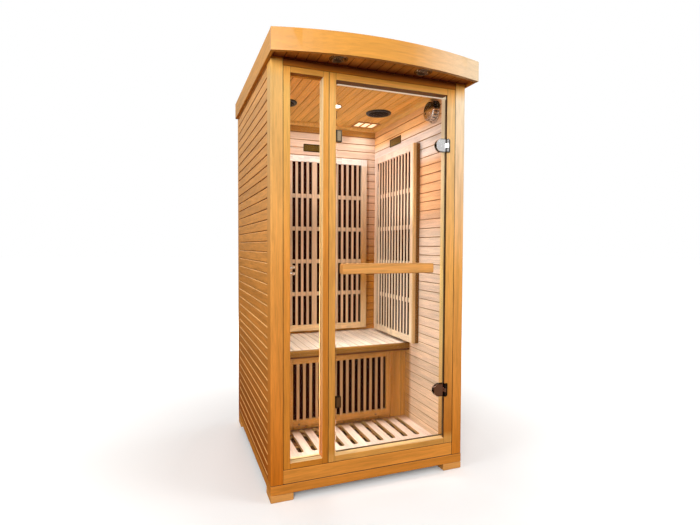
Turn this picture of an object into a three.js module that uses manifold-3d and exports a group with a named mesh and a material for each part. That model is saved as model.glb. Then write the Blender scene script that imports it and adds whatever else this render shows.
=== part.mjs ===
import * as THREE from 'three';
import { mergeVertices } from 'three/addons/utils/BufferGeometryUtils.js';
import Module from 'manifold-3d';

// One-person infrared sauna cabin in millimetres, +Z up, with its front towards -Y.
// The origin lies on the ground, under the middle of the overall box.

// Body, base and the gap left between neighbouring pieces
const BODY_WIDTH = 920;
const BODY_DEPTH = 970;
const TOTAL_HEIGHT = 1900;
const FOOT_SIDE = 97;
const FOOT_HEIGHT = 30;
const BASE_HEIGHT = 42;
const EDGE_CHAMFER = 2;
const FIT = 0.3;

// Tongue-and-groove boards
const BOARD_COVER = 45;
const LINING_BOARD_COVER = 46.6;
const BENCH_FRONT_BOARD_COVER = 70;
const GROOVE_WIDTH = 7;
const GROOVE_DEPTH = 3.5;
const LEAST_EDGE_BOARD = 8;
const LINING_THICKNESS = 14;
const SIDE_PANEL_THICKNESS = 36;
const REAR_PANEL_THICKNESS = 28;

// Front wall, from the left post to the right post; the door takes the width that is left
const FRONT_DEPTH = 67;
const POST_WIDTH = 52;
const POST_EDGE_RADIUS = 6;
const HEADER_HEIGHT = 30;
const SILL_HEIGHT = 60;
const SASH_DEPTH = 52;
const WINDOW_LEFT_STILE = 30;
const WINDOW_OPENING = 140;
const WINDOW_RIGHT_STILE = 26;
const WINDOW_RAIL = 25;
const WINDOW_GLASS = 6;
const WINDOW_GLASS_SETBACK = 30;
const WINDOW_GROOVE_DEPTH = 8;
const DOOR_LEFT_JAMB = 31;
const DOOR_RIGHT_JAMB = 45;
const DOOR_HEAD = 30;
const DOOR_THRESHOLD = 26;

// Glass door and its hinges
const DOOR_GLASS = 8;
const DOOR_SETBACK = 3;
const DOOR_SIDE_GAP = 5;
const DOOR_END_GAP = 15;
const DOOR_CORNER_RADIUS = 4;
const HINGE_AXIS_FORWARD = 7;
const HINGE_INSET = 217;
const HINGE_HEIGHT = 60;
const CLAMP_LENGTH = 56;
const CLAMP_PLATE = 5;
const CLAMP_EDGE_CLEARANCE = 2;
const LEAF_WIDTH = 15;
const LEAF_THICKNESS = 4;
const KNUCKLE_RADIUS = 6;
const KNUCKLE_HEIGHT = 18;
const KNUCKLE_GAP = 0.5;
const PIN_RADIUS = 2.5;
const PIN_CLEARANCE = 0.1;

// Door catches
const STRIKE_WIDTH = 22;
const STRIKE_HEIGHT = 50;
const STRIKE_PLATE = 2.5;
const MAGNET_WIDTH = 18;
const MAGNET_DEPTH = 16;
const MAGNET_HEIGHT = 40;

// Bar handles, one on each face of the glass
const HANDLE_LENGTH = 438;
const HANDLE_HEIGHT = 43;
const HANDLE_BAR = 22;
const HANDLE_STANDOFF = 20;
const HANDLE_FOOT = 45;
const HANDLE_FILLET = 10;
const HANDLE_CHAMFER = 3;
const HANDLE_EDGE_INSET = 14;
const INNER_HANDLE_INSET = 20;
const HANDLE_CENTRE_HEIGHT = 966;

// Crown
const CROWN_HEIGHT = 88;
const CROWN_SIDE_OVERHANG = 14;
const CROWN_FRONT_OVERHANG = 82;
const CROWN_BOW_RISE = 68;
const FRONT_FASCIA = 18;
const REAR_FASCIA = 14;
const SOFFIT_RECESS = 10;
const CEILING_THICKNESS = 14;
const ROOF_THICKNESS = 12;
const ROOF_RECESS = 3;
const CORNICE_LEG = 22;

// Round ceiling fittings
const LAMP_RADIUS = 29;
const LAMP_BEZEL_RADIUS = 39;
const LAMP_BEZEL_DROP = 4;
const LAMP_BODY_HEIGHT = 30;
const LAMP_LENS_RECESS = 5;
const DOWNLIGHT_FROM_SIDE = 265;
const DOWNLIGHT_SETBACK = 68;
const SPOT_FROM_FRONT = 540;
const SPEAKER_RADIUS = 57;
const SPEAKER_RIM_RADIUS = 72;
const SPEAKER_RIM_DROP = 8;
const SPEAKER_DOME = 12;
const SPEAKER_BODY_HEIGHT = 50;
const SPEAKER_MAGNET_RADIUS = 28;
const SPEAKER_MAGNET_HEIGHT = 14;
const SPEAKER_FROM_SIDE = 135;
const SPEAKER_FROM_FRONT = 575;

// Three-pane ceiling light
const LIGHT_WIDTH = 150;
const LIGHT_DEPTH = 125;
const LIGHT_FRAME_DROP = 6;
const LIGHT_BORDER = 10;
const LIGHT_MULLION = 7;
const LIGHT_PANES = 3;
const LIGHT_RECESS_BORDER = 6;
const DIFFUSER_THICKNESS = 5;
const LIGHT_SIDE_CLEARANCE = 8;
const LIGHT_REAR_CLEARANCE = 4;

// Ioniser high on the right wall
const IONISER_RADIUS = 56;
const IONISER_FLANGE = 10;
const IONISER_BODY_RADIUS = 48;
const IONISER_DEPTH = 42;
const IONISER_FACE_RADIUS = 34;
const IONISER_SLOTS = 18;
const IONISER_SLOT_WIDTH = 5;
const IONISER_SLOT_DEPTH = 6;
const IONISER_SLOT_LENGTH = 16;
const IONISER_FROM_FRONT = 191;
const IONISER_BELOW_CORNICE = 4;

// Double robe hook on the left wall, next to the front
const HOOK_ROSE_RADIUS = 18;
const HOOK_ROSE_THICKNESS = 5;
const HOOK_PRONG_RADIUS = 4.5;
const HOOK_BALL_RADIUS = 8;
const HOOK_REACH = 69;
const HOOK_SPREAD = 28;
const HOOK_FROM_FRONT_WALL = 25;
const HOOK_CENTRE_HEIGHT = 958;

// Heaters: slatted covers over flat emitters
const HEATER_DEPTH = 36;
const HEATER_SLAT_THICKNESS = 5;
const HEATER_SLOT = 19;
const HEATER_RAIL = 36;
const HEATER_BARS = 4;
const HEATER_BAR_HEIGHT = 24;
const HEATER_BAR_THICKNESS = 10;
const HEATER_BAR_DROP = 8;
const EMITTER_THICKNESS = 4;
const HEATER_HEIGHT = 1073;
const HEATER_ABOVE_BENCH = 17;
const REAR_HEATER_WIDTH = 696;
const REAR_HEATER_STILE = 36;
const REAR_HEATER_MIDDLE_STILE = 32;
const REAR_HEATER_SLOTS = 9;
const REAR_HEATER_SHIFT = -9;
const SIDE_HEATER_WIDTH = 508;
const SIDE_HEATER_STILE = 42;
const SIDE_HEATER_SLOTS = 12;
const SIDE_HEATER_FROM_REAR = 87;
const CALF_HEATER_WIDTH = 580;
const CALF_HEATER_BELOW_NOSING = 1;
const CALF_HEATER_DEPTH = 34;
const CALF_HEATER_STILE = 25;
const CALF_HEATER_RAIL = 31;
const CALF_HEATER_SLOTS = 16;
const CALF_HEATER_SHIFT = 11;
const CALF_HEATER_ABOVE_FLOOR = 56;

// Bench and duckboard
const BENCH_HEIGHT = 524;
const BENCH_DEPTH = 496;
const BENCH_THICKNESS = 20;
const NOSING_THICKNESS = 20;
const NOSING_HEIGHT = 38;
const NOSING_RADIUS = 8;
const BENCH_FRONT_SETBACK = 53;
const BENCH_FRONT_THICKNESS = 15;
const CLEAT_WIDTH = 25;
const CLEAT_HEIGHT = 40;
const DUCKBOARD_HEIGHT = 28;
const DUCKBOARD_BOARD = 16;
const DUCKBOARD_EDGE_GAP = 2;
const DUCKBOARD_EDGE_SLAT = 51.5;
const DUCKBOARD_SLOT = 27;
const DUCKBOARD_SLOTS = 11;
const DUCKBOARD_FRONT_BOARD = 140;
const DUCKBOARD_REAR_BOARD = 12;
const BATTEN_WIDTH = 40;

// Electrics
const PANEL_WIDTH = 120;
const PANEL_HEIGHT = 180;
const PANEL_DEPTH = 16;
const PANEL_CORNER_RADIUS = 10;
const PANEL_CENTRE_HEIGHT = 1250;
const DISPLAY_WIDTH = 70;
const DISPLAY_HEIGHT = 34;
const DISPLAY_RECESS = 2;
const KEY_RADIUS = 9;
const KEY_RELIEF = 1.5;
const KEYS_PER_ROW = 3;
const KEY_ROWS = 3;
const KEY_PITCH = 32;
const KEY_ROW_PITCH = 28;
const POWER_BOX_WIDTH = 260;
const POWER_BOX_DEPTH = 180;
const POWER_BOX_HEIGHT = 40;
const POWER_BOX_FLANGE = 12;
const POWER_BOX_SHEET = 2;
const POWER_BOX_FROM_REAR = 70;
const INLET_WIDTH = 48;
const INLET_HEIGHT = 30;
const INLET_BODY = 28;
const INLET_WALL = 5;
const INLET_RECESS = 15;
const INLET_PIN = 4;
const INLET_PIN_LENGTH = 11;
const INLET_FROM_CENTRE = 180;

// Facets of round forms
const ROUND_SEGMENTS = 20;
const SMALL_ROUND_SEGMENTS = 18;
const KEY_SEGMENTS = 8;
const ARC_SEGMENTS = 4;
const SLOT_END_SEGMENTS = 2;
const BOW_SEGMENTS = 12;

// Places worked out from the sizes above
const halfBody = BODY_WIDTH / 2;
const halfCrown = halfBody + CROWN_SIDE_OVERHANG;
const backY = (BODY_DEPTH + CROWN_FRONT_OVERHANG + CROWN_BOW_RISE) / 2;
const frontY = backY - BODY_DEPTH;
const frontInnerY = frontY + FRONT_DEPTH;
const rearInnerY = backY - REAR_PANEL_THICKNESS - LINING_THICKNESS;
const sideInnerX = halfBody - SIDE_PANEL_THICKNESS - LINING_THICKNESS;
const floorTop = FOOT_HEIGHT + BASE_HEIGHT;
const fasciaBottom = TOTAL_HEIGHT - CROWN_HEIGHT;
const ceilingBottom = fasciaBottom + SOFFIT_RECESS;
const ceilingTop = ceilingBottom + CEILING_THICKNESS;
const wallTop = ceilingBottom - FIT;
const wallBottom = floorTop + FIT;

const windowFrameLeft = -halfBody + POST_WIDTH;
const windowLeft = windowFrameLeft + WINDOW_LEFT_STILE;
const windowRight = windowLeft + WINDOW_OPENING;
const windowFrameRight = windowRight + WINDOW_RIGHT_STILE;
const doorLeft = windowFrameRight + DOOR_LEFT_JAMB;
const doorFrameRight = halfBody - POST_WIDTH;
const doorRight = doorFrameRight - DOOR_RIGHT_JAMB;
const sashBottom = floorTop + SILL_HEIGHT;
const sashTop = ceilingBottom - HEADER_HEIGHT;
const doorwayBottom = sashBottom + DOOR_THRESHOLD;
const doorwayTop = sashTop - DOOR_HEAD;

const doorGlassBottom = doorwayBottom + DOOR_END_GAP;
const doorGlassTop = doorwayTop - DOOR_END_GAP;
const upperHingeZ = doorGlassTop - HINGE_INSET;
const lowerHingeZ = doorGlassBottom + HINGE_INSET;

const bowRadius = (halfCrown ** 2 + CROWN_BOW_RISE ** 2) / (2 * CROWN_BOW_RISE);
const bowCentreY = bowRadius - backY;
const fasciaInnerRadius = bowRadius - FRONT_FASCIA;

const benchFrontY = rearInnerY - BENCH_DEPTH;
const benchPanelY = benchFrontY + BENCH_FRONT_SETBACK;
const benchUnderside = BENCH_HEIGHT - BENCH_THICKNESS;
const nosingBottom = BENCH_HEIGHT - NOSING_HEIGHT;
const calfHeaterBottom = floorTop + CALF_HEATER_ABOVE_FLOOR;
const sideHeaterRearY = rearInnerY - SIDE_HEATER_FROM_REAR;
const sideHeaterFrontY = sideHeaterRearY - SIDE_HEATER_WIDTH;
const speakerY = frontY + SPEAKER_FROM_FRONT;
const lightX = sideInnerX - CORNICE_LEG - LIGHT_SIDE_CLEARANCE - LIGHT_WIDTH / 2;
const lightY = rearInnerY - CORNICE_LEG - LIGHT_REAR_CLEARANCE - LIGHT_DEPTH / 2;
const inletZ = (ceilingBottom + TOTAL_HEIGHT) / 2;

const FINISHES = {
  honeyWood: { color: 0xd99a4a, roughness: 0.5, metalness: 0 },
  paleWood: { color: 0xeccfa4, roughness: 0.6, metalness: 0 },
  roofWood: { color: 0xd8b98a, roughness: 0.75, metalness: 0 },
  glass: { color: 0xdfeee8, roughness: 0.04, metalness: 0, transparent: true, opacity: 0.25 },
  chrome: { color: 0xd5d7da, roughness: 0.12, metalness: 1 },
  steel: { color: 0x9fa2a6, roughness: 0.35, metalness: 1 },
  emitter: { color: 0x15110f, roughness: 0.7, metalness: 0 },
  blackPlastic: { color: 0x1b1a1a, roughness: 0.55, metalness: 0 },
  whitePlastic: { color: 0xf4efe2, roughness: 0.4, metalness: 0 },
};

const wasm = await Module();
wasm.setup();

// A closed three.js geometry as a solid for cutting and joining
function toSolid(geometry) {
  const bare = geometry.clone();
  bare.deleteAttribute('normal');
  bare.deleteAttribute('uv');
  const merged = mergeVertices(bare);
  const triangles = [];
  for (let i = 0; i < merged.index.count; i += 3) {
    const corners = [merged.index.getX(i), merged.index.getX(i + 1), merged.index.getX(i + 2)];
    if (new Set(corners).size === 3) triangles.push(...corners);
  }
  return new wasm.Manifold(new wasm.Mesh({
    numProp: 3,
    vertProperties: new Float32Array(merged.attributes.position.array),
    triVerts: new Uint32Array(triangles),
  }));
}

function toGeometry(solid) {
  const mesh = solid.getMesh();
  const geometry = new THREE.BufferGeometry();
  geometry.setAttribute('position', new THREE.BufferAttribute(mesh.vertProperties, 3));
  geometry.setIndex(new THREE.BufferAttribute(mesh.triVerts, 1));
  const faceted = geometry.toNonIndexed();
  faceted.computeVertexNormals();
  return faceted;
}

function join(...geometries) {
  return toGeometry(geometries.map(toSolid).reduce((whole, next) => whole.add(next)));
}

function cut(geometry, ...tools) {
  return toGeometry(tools.map(toSolid).reduce((whole, tool) => whole.subtract(tool), toSolid(geometry)));
}

function common(first, second) {
  return toGeometry(toSolid(first).intersect(toSolid(second)));
}

// Outlines
function polygon(points) {
  return new THREE.Shape(points.map(([x, y]) => new THREE.Vector2(x, y)));
}

function rectangle(left, right, low, high) {
  return polygon([[left, low], [right, low], [right, high], [left, high]]);
}

function roundedRectangle(left, right, low, high, radius) {
  const shape = new THREE.Shape();
  shape.absarc(right - radius, low + radius, radius, -Math.PI / 2, 0);
  shape.absarc(right - radius, high - radius, radius, 0, Math.PI / 2);
  shape.absarc(left + radius, high - radius, radius, Math.PI / 2, Math.PI);
  shape.absarc(left + radius, low + radius, radius, Math.PI, 1.5 * Math.PI);
  return shape;
}

// A slot with round ends that runs along y
function roundSlot(x, low, high, width) {
  return roundedRectangle(x - width / 2, x + width / 2, low, high, width / 2);
}

function withHoles(shape, holes) {
  shape.holes.push(...holes);
  return shape;
}

// Boards side by side along `run`, V-grooved on the face; `place` maps (along, deep) to the outline's plane
function boards(run, thickness, cover, place) {
  const joints = Math.floor((run - 2 * LEAST_EDGE_BOARD) / cover);
  const first = (run - joints * cover) / 2;
  const points = [[0, 0]];
  for (let joint = 0; joint <= joints; joint += 1) {
    const at = first + joint * cover;
    points.push([at - GROOVE_WIDTH / 2, 0], [at, GROOVE_DEPTH], [at + GROOVE_WIDTH / 2, 0]);
  }
  points.push([run, 0], [run, thickness], [0, thickness]);
  return polygon(points.map(([along, deep]) => place(along, deep)));
}

// Extrusions of an outline along each axis: alongX takes (y, z), alongY takes (x, z), alongZ takes (x, y)
function extrude(shape, depth, chamfer, segments) {
  const geometry = new THREE.ExtrudeGeometry(shape, {
    depth: depth - 2 * chamfer,
    bevelEnabled: chamfer > 0,
    bevelSize: chamfer,
    bevelThickness: chamfer,
    bevelOffset: -chamfer,
    bevelSegments: 1,
    curveSegments: segments,
  });
  return geometry.translate(0, 0, chamfer);
}

const RIGHTWARD = new THREE.Vector3(1, 0, 0);
const REARWARD = new THREE.Vector3(0, 1, 0);
const FORWARD = new THREE.Vector3(0, -1, 0);
const UPWARD = new THREE.Vector3(0, 0, 1);

function alongX(shape, from, to, chamfer = 0, segments = ARC_SEGMENTS) {
  const turn = new THREE.Matrix4().makeBasis(REARWARD, UPWARD, RIGHTWARD);
  return extrude(shape, to - from, chamfer, segments).applyMatrix4(turn).translate(from, 0, 0);
}

function alongY(shape, from, to, chamfer = 0, segments = ARC_SEGMENTS) {
  const turn = new THREE.Matrix4().makeBasis(RIGHTWARD, UPWARD, FORWARD);
  return extrude(shape, to - from, chamfer, segments).applyMatrix4(turn).translate(0, to, 0);
}

function alongZ(shape, from, to, chamfer = 0, segments = ARC_SEGMENTS) {
  return extrude(shape, to - from, chamfer, segments).translate(0, 0, from);
}

function block(left, right, front, rear, low, high, chamfer = 0) {
  return alongZ(rectangle(left, right, front, rear), low, high, chamfer);
}

// A solid of revolution about Z, from an outline of (radius, height) points that runs from bottom to top
function turned(outline, segments = ROUND_SEGMENTS) {
  const points = outline.map(([radius, height]) => new THREE.Vector2(radius, height));
  return new THREE.LatheGeometry(points, segments).rotateX(Math.PI / 2);
}

function rod(radius, low, high, segments = SMALL_ROUND_SEGMENTS) {
  return turned([[0, low], [radius, low], [radius, high], [0, high]], segments);
}

function piece(name, geometry, finish) {
  const mesh = new THREE.Mesh(geometry, new THREE.MeshStandardMaterial(FINISHES[finish]));
  mesh.name = name;
  return mesh;
}

function group(...children) {
  const whole = new THREE.Group();
  children.forEach((child) => whole.add(child));
  return whole;
}

// Floor panel on four corner feet
function base() {
  const whole = group(piece(
    'floor_panel',
    block(-halfBody, halfBody, frontY, backY, FOOT_HEIGHT + FIT, floorTop, EDGE_CHAMFER),
    'honeyWood',
  ));
  const corner = halfBody - FOOT_SIDE / 2;
  for (const [end, y] of [['front', frontY + FOOT_SIDE / 2], ['rear', backY - FOOT_SIDE / 2]]) {
    for (const [side, x] of [['left', -corner], ['right', corner]]) {
      const half = FOOT_SIDE / 2;
      const foot = piece(
        `foot_${end}_${side}`,
        block(-half, half, -half, half, 0, FOOT_HEIGHT, EDGE_CHAMFER),
        'honeyWood',
      );
      foot.position.set(x, y, 0);
      whole.add(foot);
    }
  }
  return whole;
}

// Duckboard: a slotted board on cross battens, between the front wall and the bench front
function duckboard() {
  const half = sideInnerX - DUCKBOARD_EDGE_GAP;
  const front = frontInnerY + DUCKBOARD_EDGE_GAP;
  const rear = benchPanelY - DUCKBOARD_EDGE_GAP;
  const top = floorTop + DUCKBOARD_HEIGHT;
  const slotFront = front + DUCKBOARD_FRONT_BOARD;
  const slotRear = rear - DUCKBOARD_REAR_BOARD;
  const outermost = half - DUCKBOARD_EDGE_SLAT - DUCKBOARD_SLOT / 2;
  const slots = [];
  for (let slot = 0; slot < DUCKBOARD_SLOTS; slot += 1) {
    const x = outermost * ((2 * slot) / (DUCKBOARD_SLOTS - 1) - 1);
    slots.push(roundSlot(x, slotFront, slotRear, DUCKBOARD_SLOT));
  }
  const deck = alongZ(
    withHoles(rectangle(-half, half, front, rear), slots),
    top - DUCKBOARD_BOARD,
    top,
    0,
    SLOT_END_SEGMENTS,
  );
  const middle = (slotFront + slotRear - BATTEN_WIDTH) / 2;
  const battens = [front, middle, rear - BATTEN_WIDTH].map((y) => (
    block(-half, half, y, y + BATTEN_WIDTH, wallBottom, top - DUCKBOARD_BOARD)
  ));
  return piece('duckboard', join(deck, ...battens), 'paleWood');
}

// Side walls: framed outer panel with V-grooved boards, and a lining of the same boards inside
function sideWall(side, sign) {
  const run = wallTop - wallBottom;
  const from = frontInnerY + FIT;
  const to = rearInnerY - FIT;
  const outer = boards(run, SIDE_PANEL_THICKNESS, BOARD_COVER, (along, deep) => [
    sign * (halfBody - deep),
    wallBottom + along,
  ]);
  const inner = boards(run, LINING_THICKNESS - FIT, LINING_BOARD_COVER, (along, deep) => [
    sign * (sideInnerX + deep),
    wallBottom + along,
  ]);
  return group(
    piece(`${side}_wall_panel`, alongY(outer, from, to), 'honeyWood'),
    piece(`${side}_wall_lining`, alongY(inner, from, to), 'paleWood'),
  );
}

// Rear wall: its panel closes both rear corners, and its lining sits between them
function rearWall() {
  const run = wallTop - wallBottom;
  const cornerX = halfBody - SIDE_PANEL_THICKNESS;
  const liningRear = backY - REAR_PANEL_THICKNESS - FIT;
  const outer = boards(run, REAR_PANEL_THICKNESS, BOARD_COVER, (along, deep) => [
    backY - deep,
    wallBottom + along,
  ]);
  const inner = boards(run, liningRear - rearInnerY, LINING_BOARD_COVER, (along, deep) => [
    rearInnerY + deep,
    wallBottom + along,
  ]);
  const panel = join(
    alongX(outer, -halfBody, halfBody),
    block(-halfBody, -cornerX, rearInnerY, backY - GROOVE_DEPTH, wallBottom, wallTop),
    block(cornerX, halfBody, rearInnerY, backY - GROOVE_DEPTH, wallBottom, wallTop),
  );
  return group(
    piece('rear_wall_panel', panel, 'honeyWood'),
    piece('rear_wall_lining', alongX(inner, -cornerX + FIT, cornerX - FIT), 'paleWood'),
  );
}

// A front corner post with its outer edge rounded
function frontPost(side, sign) {
  const outline = new THREE.Shape();
  const edge = sign * (halfBody - POST_EDGE_RADIUS);
  outline.moveTo(sign * (halfBody - POST_WIDTH), frontInnerY);
  outline.lineTo(sign * (halfBody - POST_WIDTH), frontY);
  outline.lineTo(edge, frontY);
  if (sign > 0) outline.absarc(edge, frontY + POST_EDGE_RADIUS, POST_EDGE_RADIUS, -Math.PI / 2, 0, false);
  else outline.absarc(edge, frontY + POST_EDGE_RADIUS, POST_EDGE_RADIUS, -Math.PI / 2, -Math.PI, true);
  outline.lineTo(sign * halfBody, frontInnerY);
  return piece(`front_${side}_post`, alongZ(outline, wallBottom, wallTop), 'honeyWood');
}

// Front wall: posts, rails, window sash with its pane, and the door frame
function frontWall() {
  const railLeft = windowFrameLeft + FIT;
  const railRight = doorFrameRight - FIT;
  const rail = (name, low, high) => piece(
    name,
    block(railLeft, railRight, frontY, frontInnerY, low, high, EDGE_CHAMFER),
    'honeyWood',
  );
  const low = sashBottom + FIT;
  const high = sashTop - FIT;
  const paneLow = sashBottom + WINDOW_RAIL;
  const paneHigh = sashTop - WINDOW_RAIL;
  const sashRear = frontY + SASH_DEPTH;
  const sash = alongY(
    withHoles(rectangle(railLeft, windowFrameRight, low, high), [
      rectangle(windowLeft, windowRight, paneLow, paneHigh),
    ]),
    frontY,
    sashRear,
  );
  const paneFront = frontY + WINDOW_GLASS_SETBACK;
  const paneSize = (grow) => rectangle(
    windowLeft - grow,
    windowRight + grow,
    paneLow - grow,
    paneHigh + grow,
  );
  const groove = alongY(paneSize(WINDOW_GROOVE_DEPTH), paneFront - FIT, paneFront + WINDOW_GLASS + FIT);
  const pane = alongY(paneSize(WINDOW_GROOVE_DEPTH - FIT), paneFront, paneFront + WINDOW_GLASS);
  const doorFrame = alongY(
    withHoles(rectangle(windowFrameRight + FIT, railRight, low, high), [
      rectangle(doorLeft, doorRight, doorwayBottom, doorwayTop),
    ]),
    frontY,
    sashRear,
  );
  return group(
    frontPost('left', -1),
    frontPost('right', 1),
    rail('front_header', sashTop, wallTop),
    rail('front_sill', wallBottom, sashBottom),
    piece('window_frame', cut(sash, groove), 'honeyWood'),
    piece('window_glass', pane, 'glass'),
    piece('door_frame', doorFrame, 'honeyWood'),
  );
}

// The door is built about its hinge axis, with the glass reaching to -X and facing -Y
const glassFrontY = HINGE_AXIS_FORWARD + DOOR_SETBACK;
const glassRearY = glassFrontY + DOOR_GLASS;
const glassFreeX = doorLeft + DOOR_SIDE_GAP - doorRight;
const glassHingeX = -DOOR_SIDE_GAP;

function doorGlass() {
  const outline = roundedRectangle(
    glassFreeX,
    glassHingeX,
    doorGlassBottom,
    doorGlassTop,
    DOOR_CORNER_RADIUS,
  );
  return piece('door_glass', alongY(outline, glassFrontY, glassRearY), 'glass');
}

// Round-ended clamp that wraps the hinge edge of the glass and carries the middle knuckle
function hingeClamp(name) {
  const half = HINGE_HEIGHT / 2;
  const right = -CLAMP_EDGE_CLEARANCE;
  const round = right - CLAMP_LENGTH + half;
  const outline = new THREE.Shape();
  outline.moveTo(right, -half);
  outline.lineTo(right, half);
  outline.absarc(round, 0, half, Math.PI / 2, 1.5 * Math.PI);
  const slotFront = glassFrontY - FIT;
  const slotRear = glassRearY + FIT;
  const body = alongY(
    outline,
    slotFront - CLAMP_PLATE,
    slotRear + CLAMP_PLATE,
    0,
    SMALL_ROUND_SEGMENTS / 2,
  );
  const slot = block(
    right - 2 * CLAMP_LENGTH,
    glassHingeX + FIT,
    slotFront,
    slotRear,
    -HINGE_HEIGHT,
    HINGE_HEIGHT,
  );
  const middle = KNUCKLE_HEIGHT / 2;
  const relief = KNUCKLE_RADIUS + KNUCKLE_GAP;
  const web = block(
    -KNUCKLE_RADIUS,
    right,
    0,
    slotFront - CLAMP_PLATE / 2,
    -middle,
    middle,
  );
  const cleared = cut(
    body,
    slot,
    rod(relief, middle, HINGE_HEIGHT),
    rod(relief, -HINGE_HEIGHT, -middle),
  );
  const knuckled = join(cleared, web, rod(KNUCKLE_RADIUS, -middle, middle));
  const bore = rod(PIN_RADIUS + PIN_CLEARANCE, -HINGE_HEIGHT, HINGE_HEIGHT);
  return piece(name, cut(knuckled, bore), 'chrome');
}

// Leaf on the door jamb with the outer knuckles and the hinge pin
function hingeBracket(name) {
  const half = HINGE_HEIGHT / 2;
  const gap = KNUCKLE_HEIGHT / 2 + KNUCKLE_GAP;
  const leafRear = HINGE_AXIS_FORWARD - FIT;
  const outline = roundedRectangle(0, LEAF_WIDTH, -half, half, LEAF_THICKNESS);
  const leaf = alongY(outline, leafRear - LEAF_THICKNESS, leafRear);
  const relief = rod(KNUCKLE_RADIUS + KNUCKLE_GAP, -gap, gap);
  const bracket = join(
    cut(leaf, relief),
    rod(KNUCKLE_RADIUS, gap, half),
    rod(KNUCKLE_RADIUS, -half, -gap),
    rod(PIN_RADIUS, -half, half),
  );
  return piece(name, bracket, 'chrome');
}

// U-shaped strike clip on the free edge of the glass
function strikeClip(name) {
  const outer = glassFreeX - FIT - STRIKE_PLATE;
  const inner = glassFreeX + STRIKE_WIDTH;
  const front = glassFrontY - FIT;
  const rear = glassRearY + FIT;
  const outline = polygon([
    [inner, front - STRIKE_PLATE],
    [inner, front],
    [glassFreeX - FIT, front],
    [glassFreeX - FIT, rear],
    [inner, rear],
    [inner, rear + STRIKE_PLATE],
    [outer, rear + STRIKE_PLATE],
    [outer, front - STRIKE_PLATE],
  ]);
  return piece(name, alongZ(outline, -STRIKE_HEIGHT / 2, STRIKE_HEIGHT / 2), 'chrome');
}

// Bar handle: one timber with two feet on the glass and a finger recess between; `inset` shortens its ends
function barHandle(name, face, away, inset = 0) {
  const left = glassFreeX + HANDLE_EDGE_INSET + inset;
  const right = glassFreeX + HANDLE_EDGE_INSET + HANDLE_LENGTH - inset;
  const at = (depth) => face + away * (depth + FIT);
  const recess = HANDLE_STANDOFF;
  const start = HANDLE_STANDOFF - HANDLE_FILLET;
  const footEnd = left + HANDLE_FOOT - inset;
  const footStart = right - HANDLE_FOOT + inset;
  const outline = new THREE.Shape();
  outline.moveTo(left, at(0));
  outline.lineTo(left, at(recess + HANDLE_BAR));
  outline.lineTo(right, at(recess + HANDLE_BAR));
  outline.lineTo(right, at(0));
  outline.lineTo(footStart, at(0));
  outline.lineTo(footStart, at(start));
  outline.quadraticCurveTo(footStart, at(recess), footStart - HANDLE_FILLET, at(recess));
  outline.lineTo(footEnd + HANDLE_FILLET, at(recess));
  outline.quadraticCurveTo(footEnd, at(recess), footEnd, at(start));
  outline.lineTo(footEnd, at(0));
  const low = HANDLE_CENTRE_HEIGHT - HANDLE_HEIGHT / 2;
  return piece(name, alongZ(outline, low, low + HANDLE_HEIGHT, HANDLE_CHAMFER), 'honeyWood');
}

function raised(mesh, height) {
  mesh.position.z = height;
  return mesh;
}

// Everything that turns on the hinge axis, the fixed hinge halves, and the magnets that hold the door shut
function door() {
  const aboutAxis = group(
    doorGlass(),
    raised(hingeClamp('upper_hinge_clamp'), upperHingeZ),
    raised(hingeClamp('lower_hinge_clamp'), lowerHingeZ),
    raised(hingeBracket('upper_hinge_bracket'), upperHingeZ),
    raised(hingeBracket('lower_hinge_bracket'), lowerHingeZ),
    raised(strikeClip('upper_strike'), upperHingeZ),
    raised(strikeClip('lower_strike'), lowerHingeZ),
    barHandle('outer_handle', glassFrontY, -1),
    barHandle('inner_handle', glassRearY, 1, INNER_HANDLE_INSET),
  );
  aboutAxis.position.set(doorRight, frontY - HINGE_AXIS_FORWARD, 0);
  const strikeRear = frontY + DOOR_SETBACK + DOOR_GLASS + FIT + STRIKE_PLATE;
  const front = strikeRear + FIT;
  const magnet = () => block(
    doorLeft + FIT,
    doorLeft + MAGNET_WIDTH,
    front,
    front + MAGNET_DEPTH,
    -MAGNET_HEIGHT / 2,
    MAGNET_HEIGHT / 2,
    EDGE_CHAMFER / 2,
  );
  return group(
    aboutAxis,
    raised(piece('upper_magnet', magnet(), 'steel'), upperHingeZ),
    raised(piece('lower_magnet', magnet(), 'steel'), lowerHingeZ),
  );
}

// Plan of a panel inside the crown, with its front edge on an arc about the bow's centre
function bowedPlan(half, radius, rear) {
  const swing = Math.asin(half / radius);
  const shape = new THREE.Shape();
  shape.moveTo(half, rear);
  shape.lineTo(-half, rear);
  shape.absarc(0, bowCentreY, radius, -Math.PI / 2 - swing, -Math.PI / 2 + swing);
  return shape;
}

function onBow(x, radius) {
  return bowCentreY - Math.sqrt(radius ** 2 - x ** 2);
}

function frontFascia() {
  const outerSwing = Math.asin(halfCrown / bowRadius);
  const innerSwing = Math.asin(halfCrown / fasciaInnerRadius);
  const middle = -Math.PI / 2;
  const shape = new THREE.Shape();
  shape.absarc(0, bowCentreY, bowRadius, middle - outerSwing, middle + outerSwing, false);
  shape.absarc(0, bowCentreY, fasciaInnerRadius, middle + innerSwing, middle - innerSwing, true);
  return piece(
    'crown_front_fascia',
    alongZ(shape, fasciaBottom, TOTAL_HEIGHT, 0, BOW_SEGMENTS),
    'honeyWood',
  );
}

function sideFascia(side, sign) {
  const inner = halfBody + FIT;
  const radius = fasciaInnerRadius - FIT;
  const outline = polygon([
    [sign * inner, onBow(inner, radius)],
    [sign * halfCrown, onBow(halfCrown, radius)],
    [sign * halfCrown, backY],
    [sign * inner, backY],
  ]);
  return piece(`crown_${side}_fascia`, alongZ(outline, fasciaBottom, TOTAL_HEIGHT), 'honeyWood');
}

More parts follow.
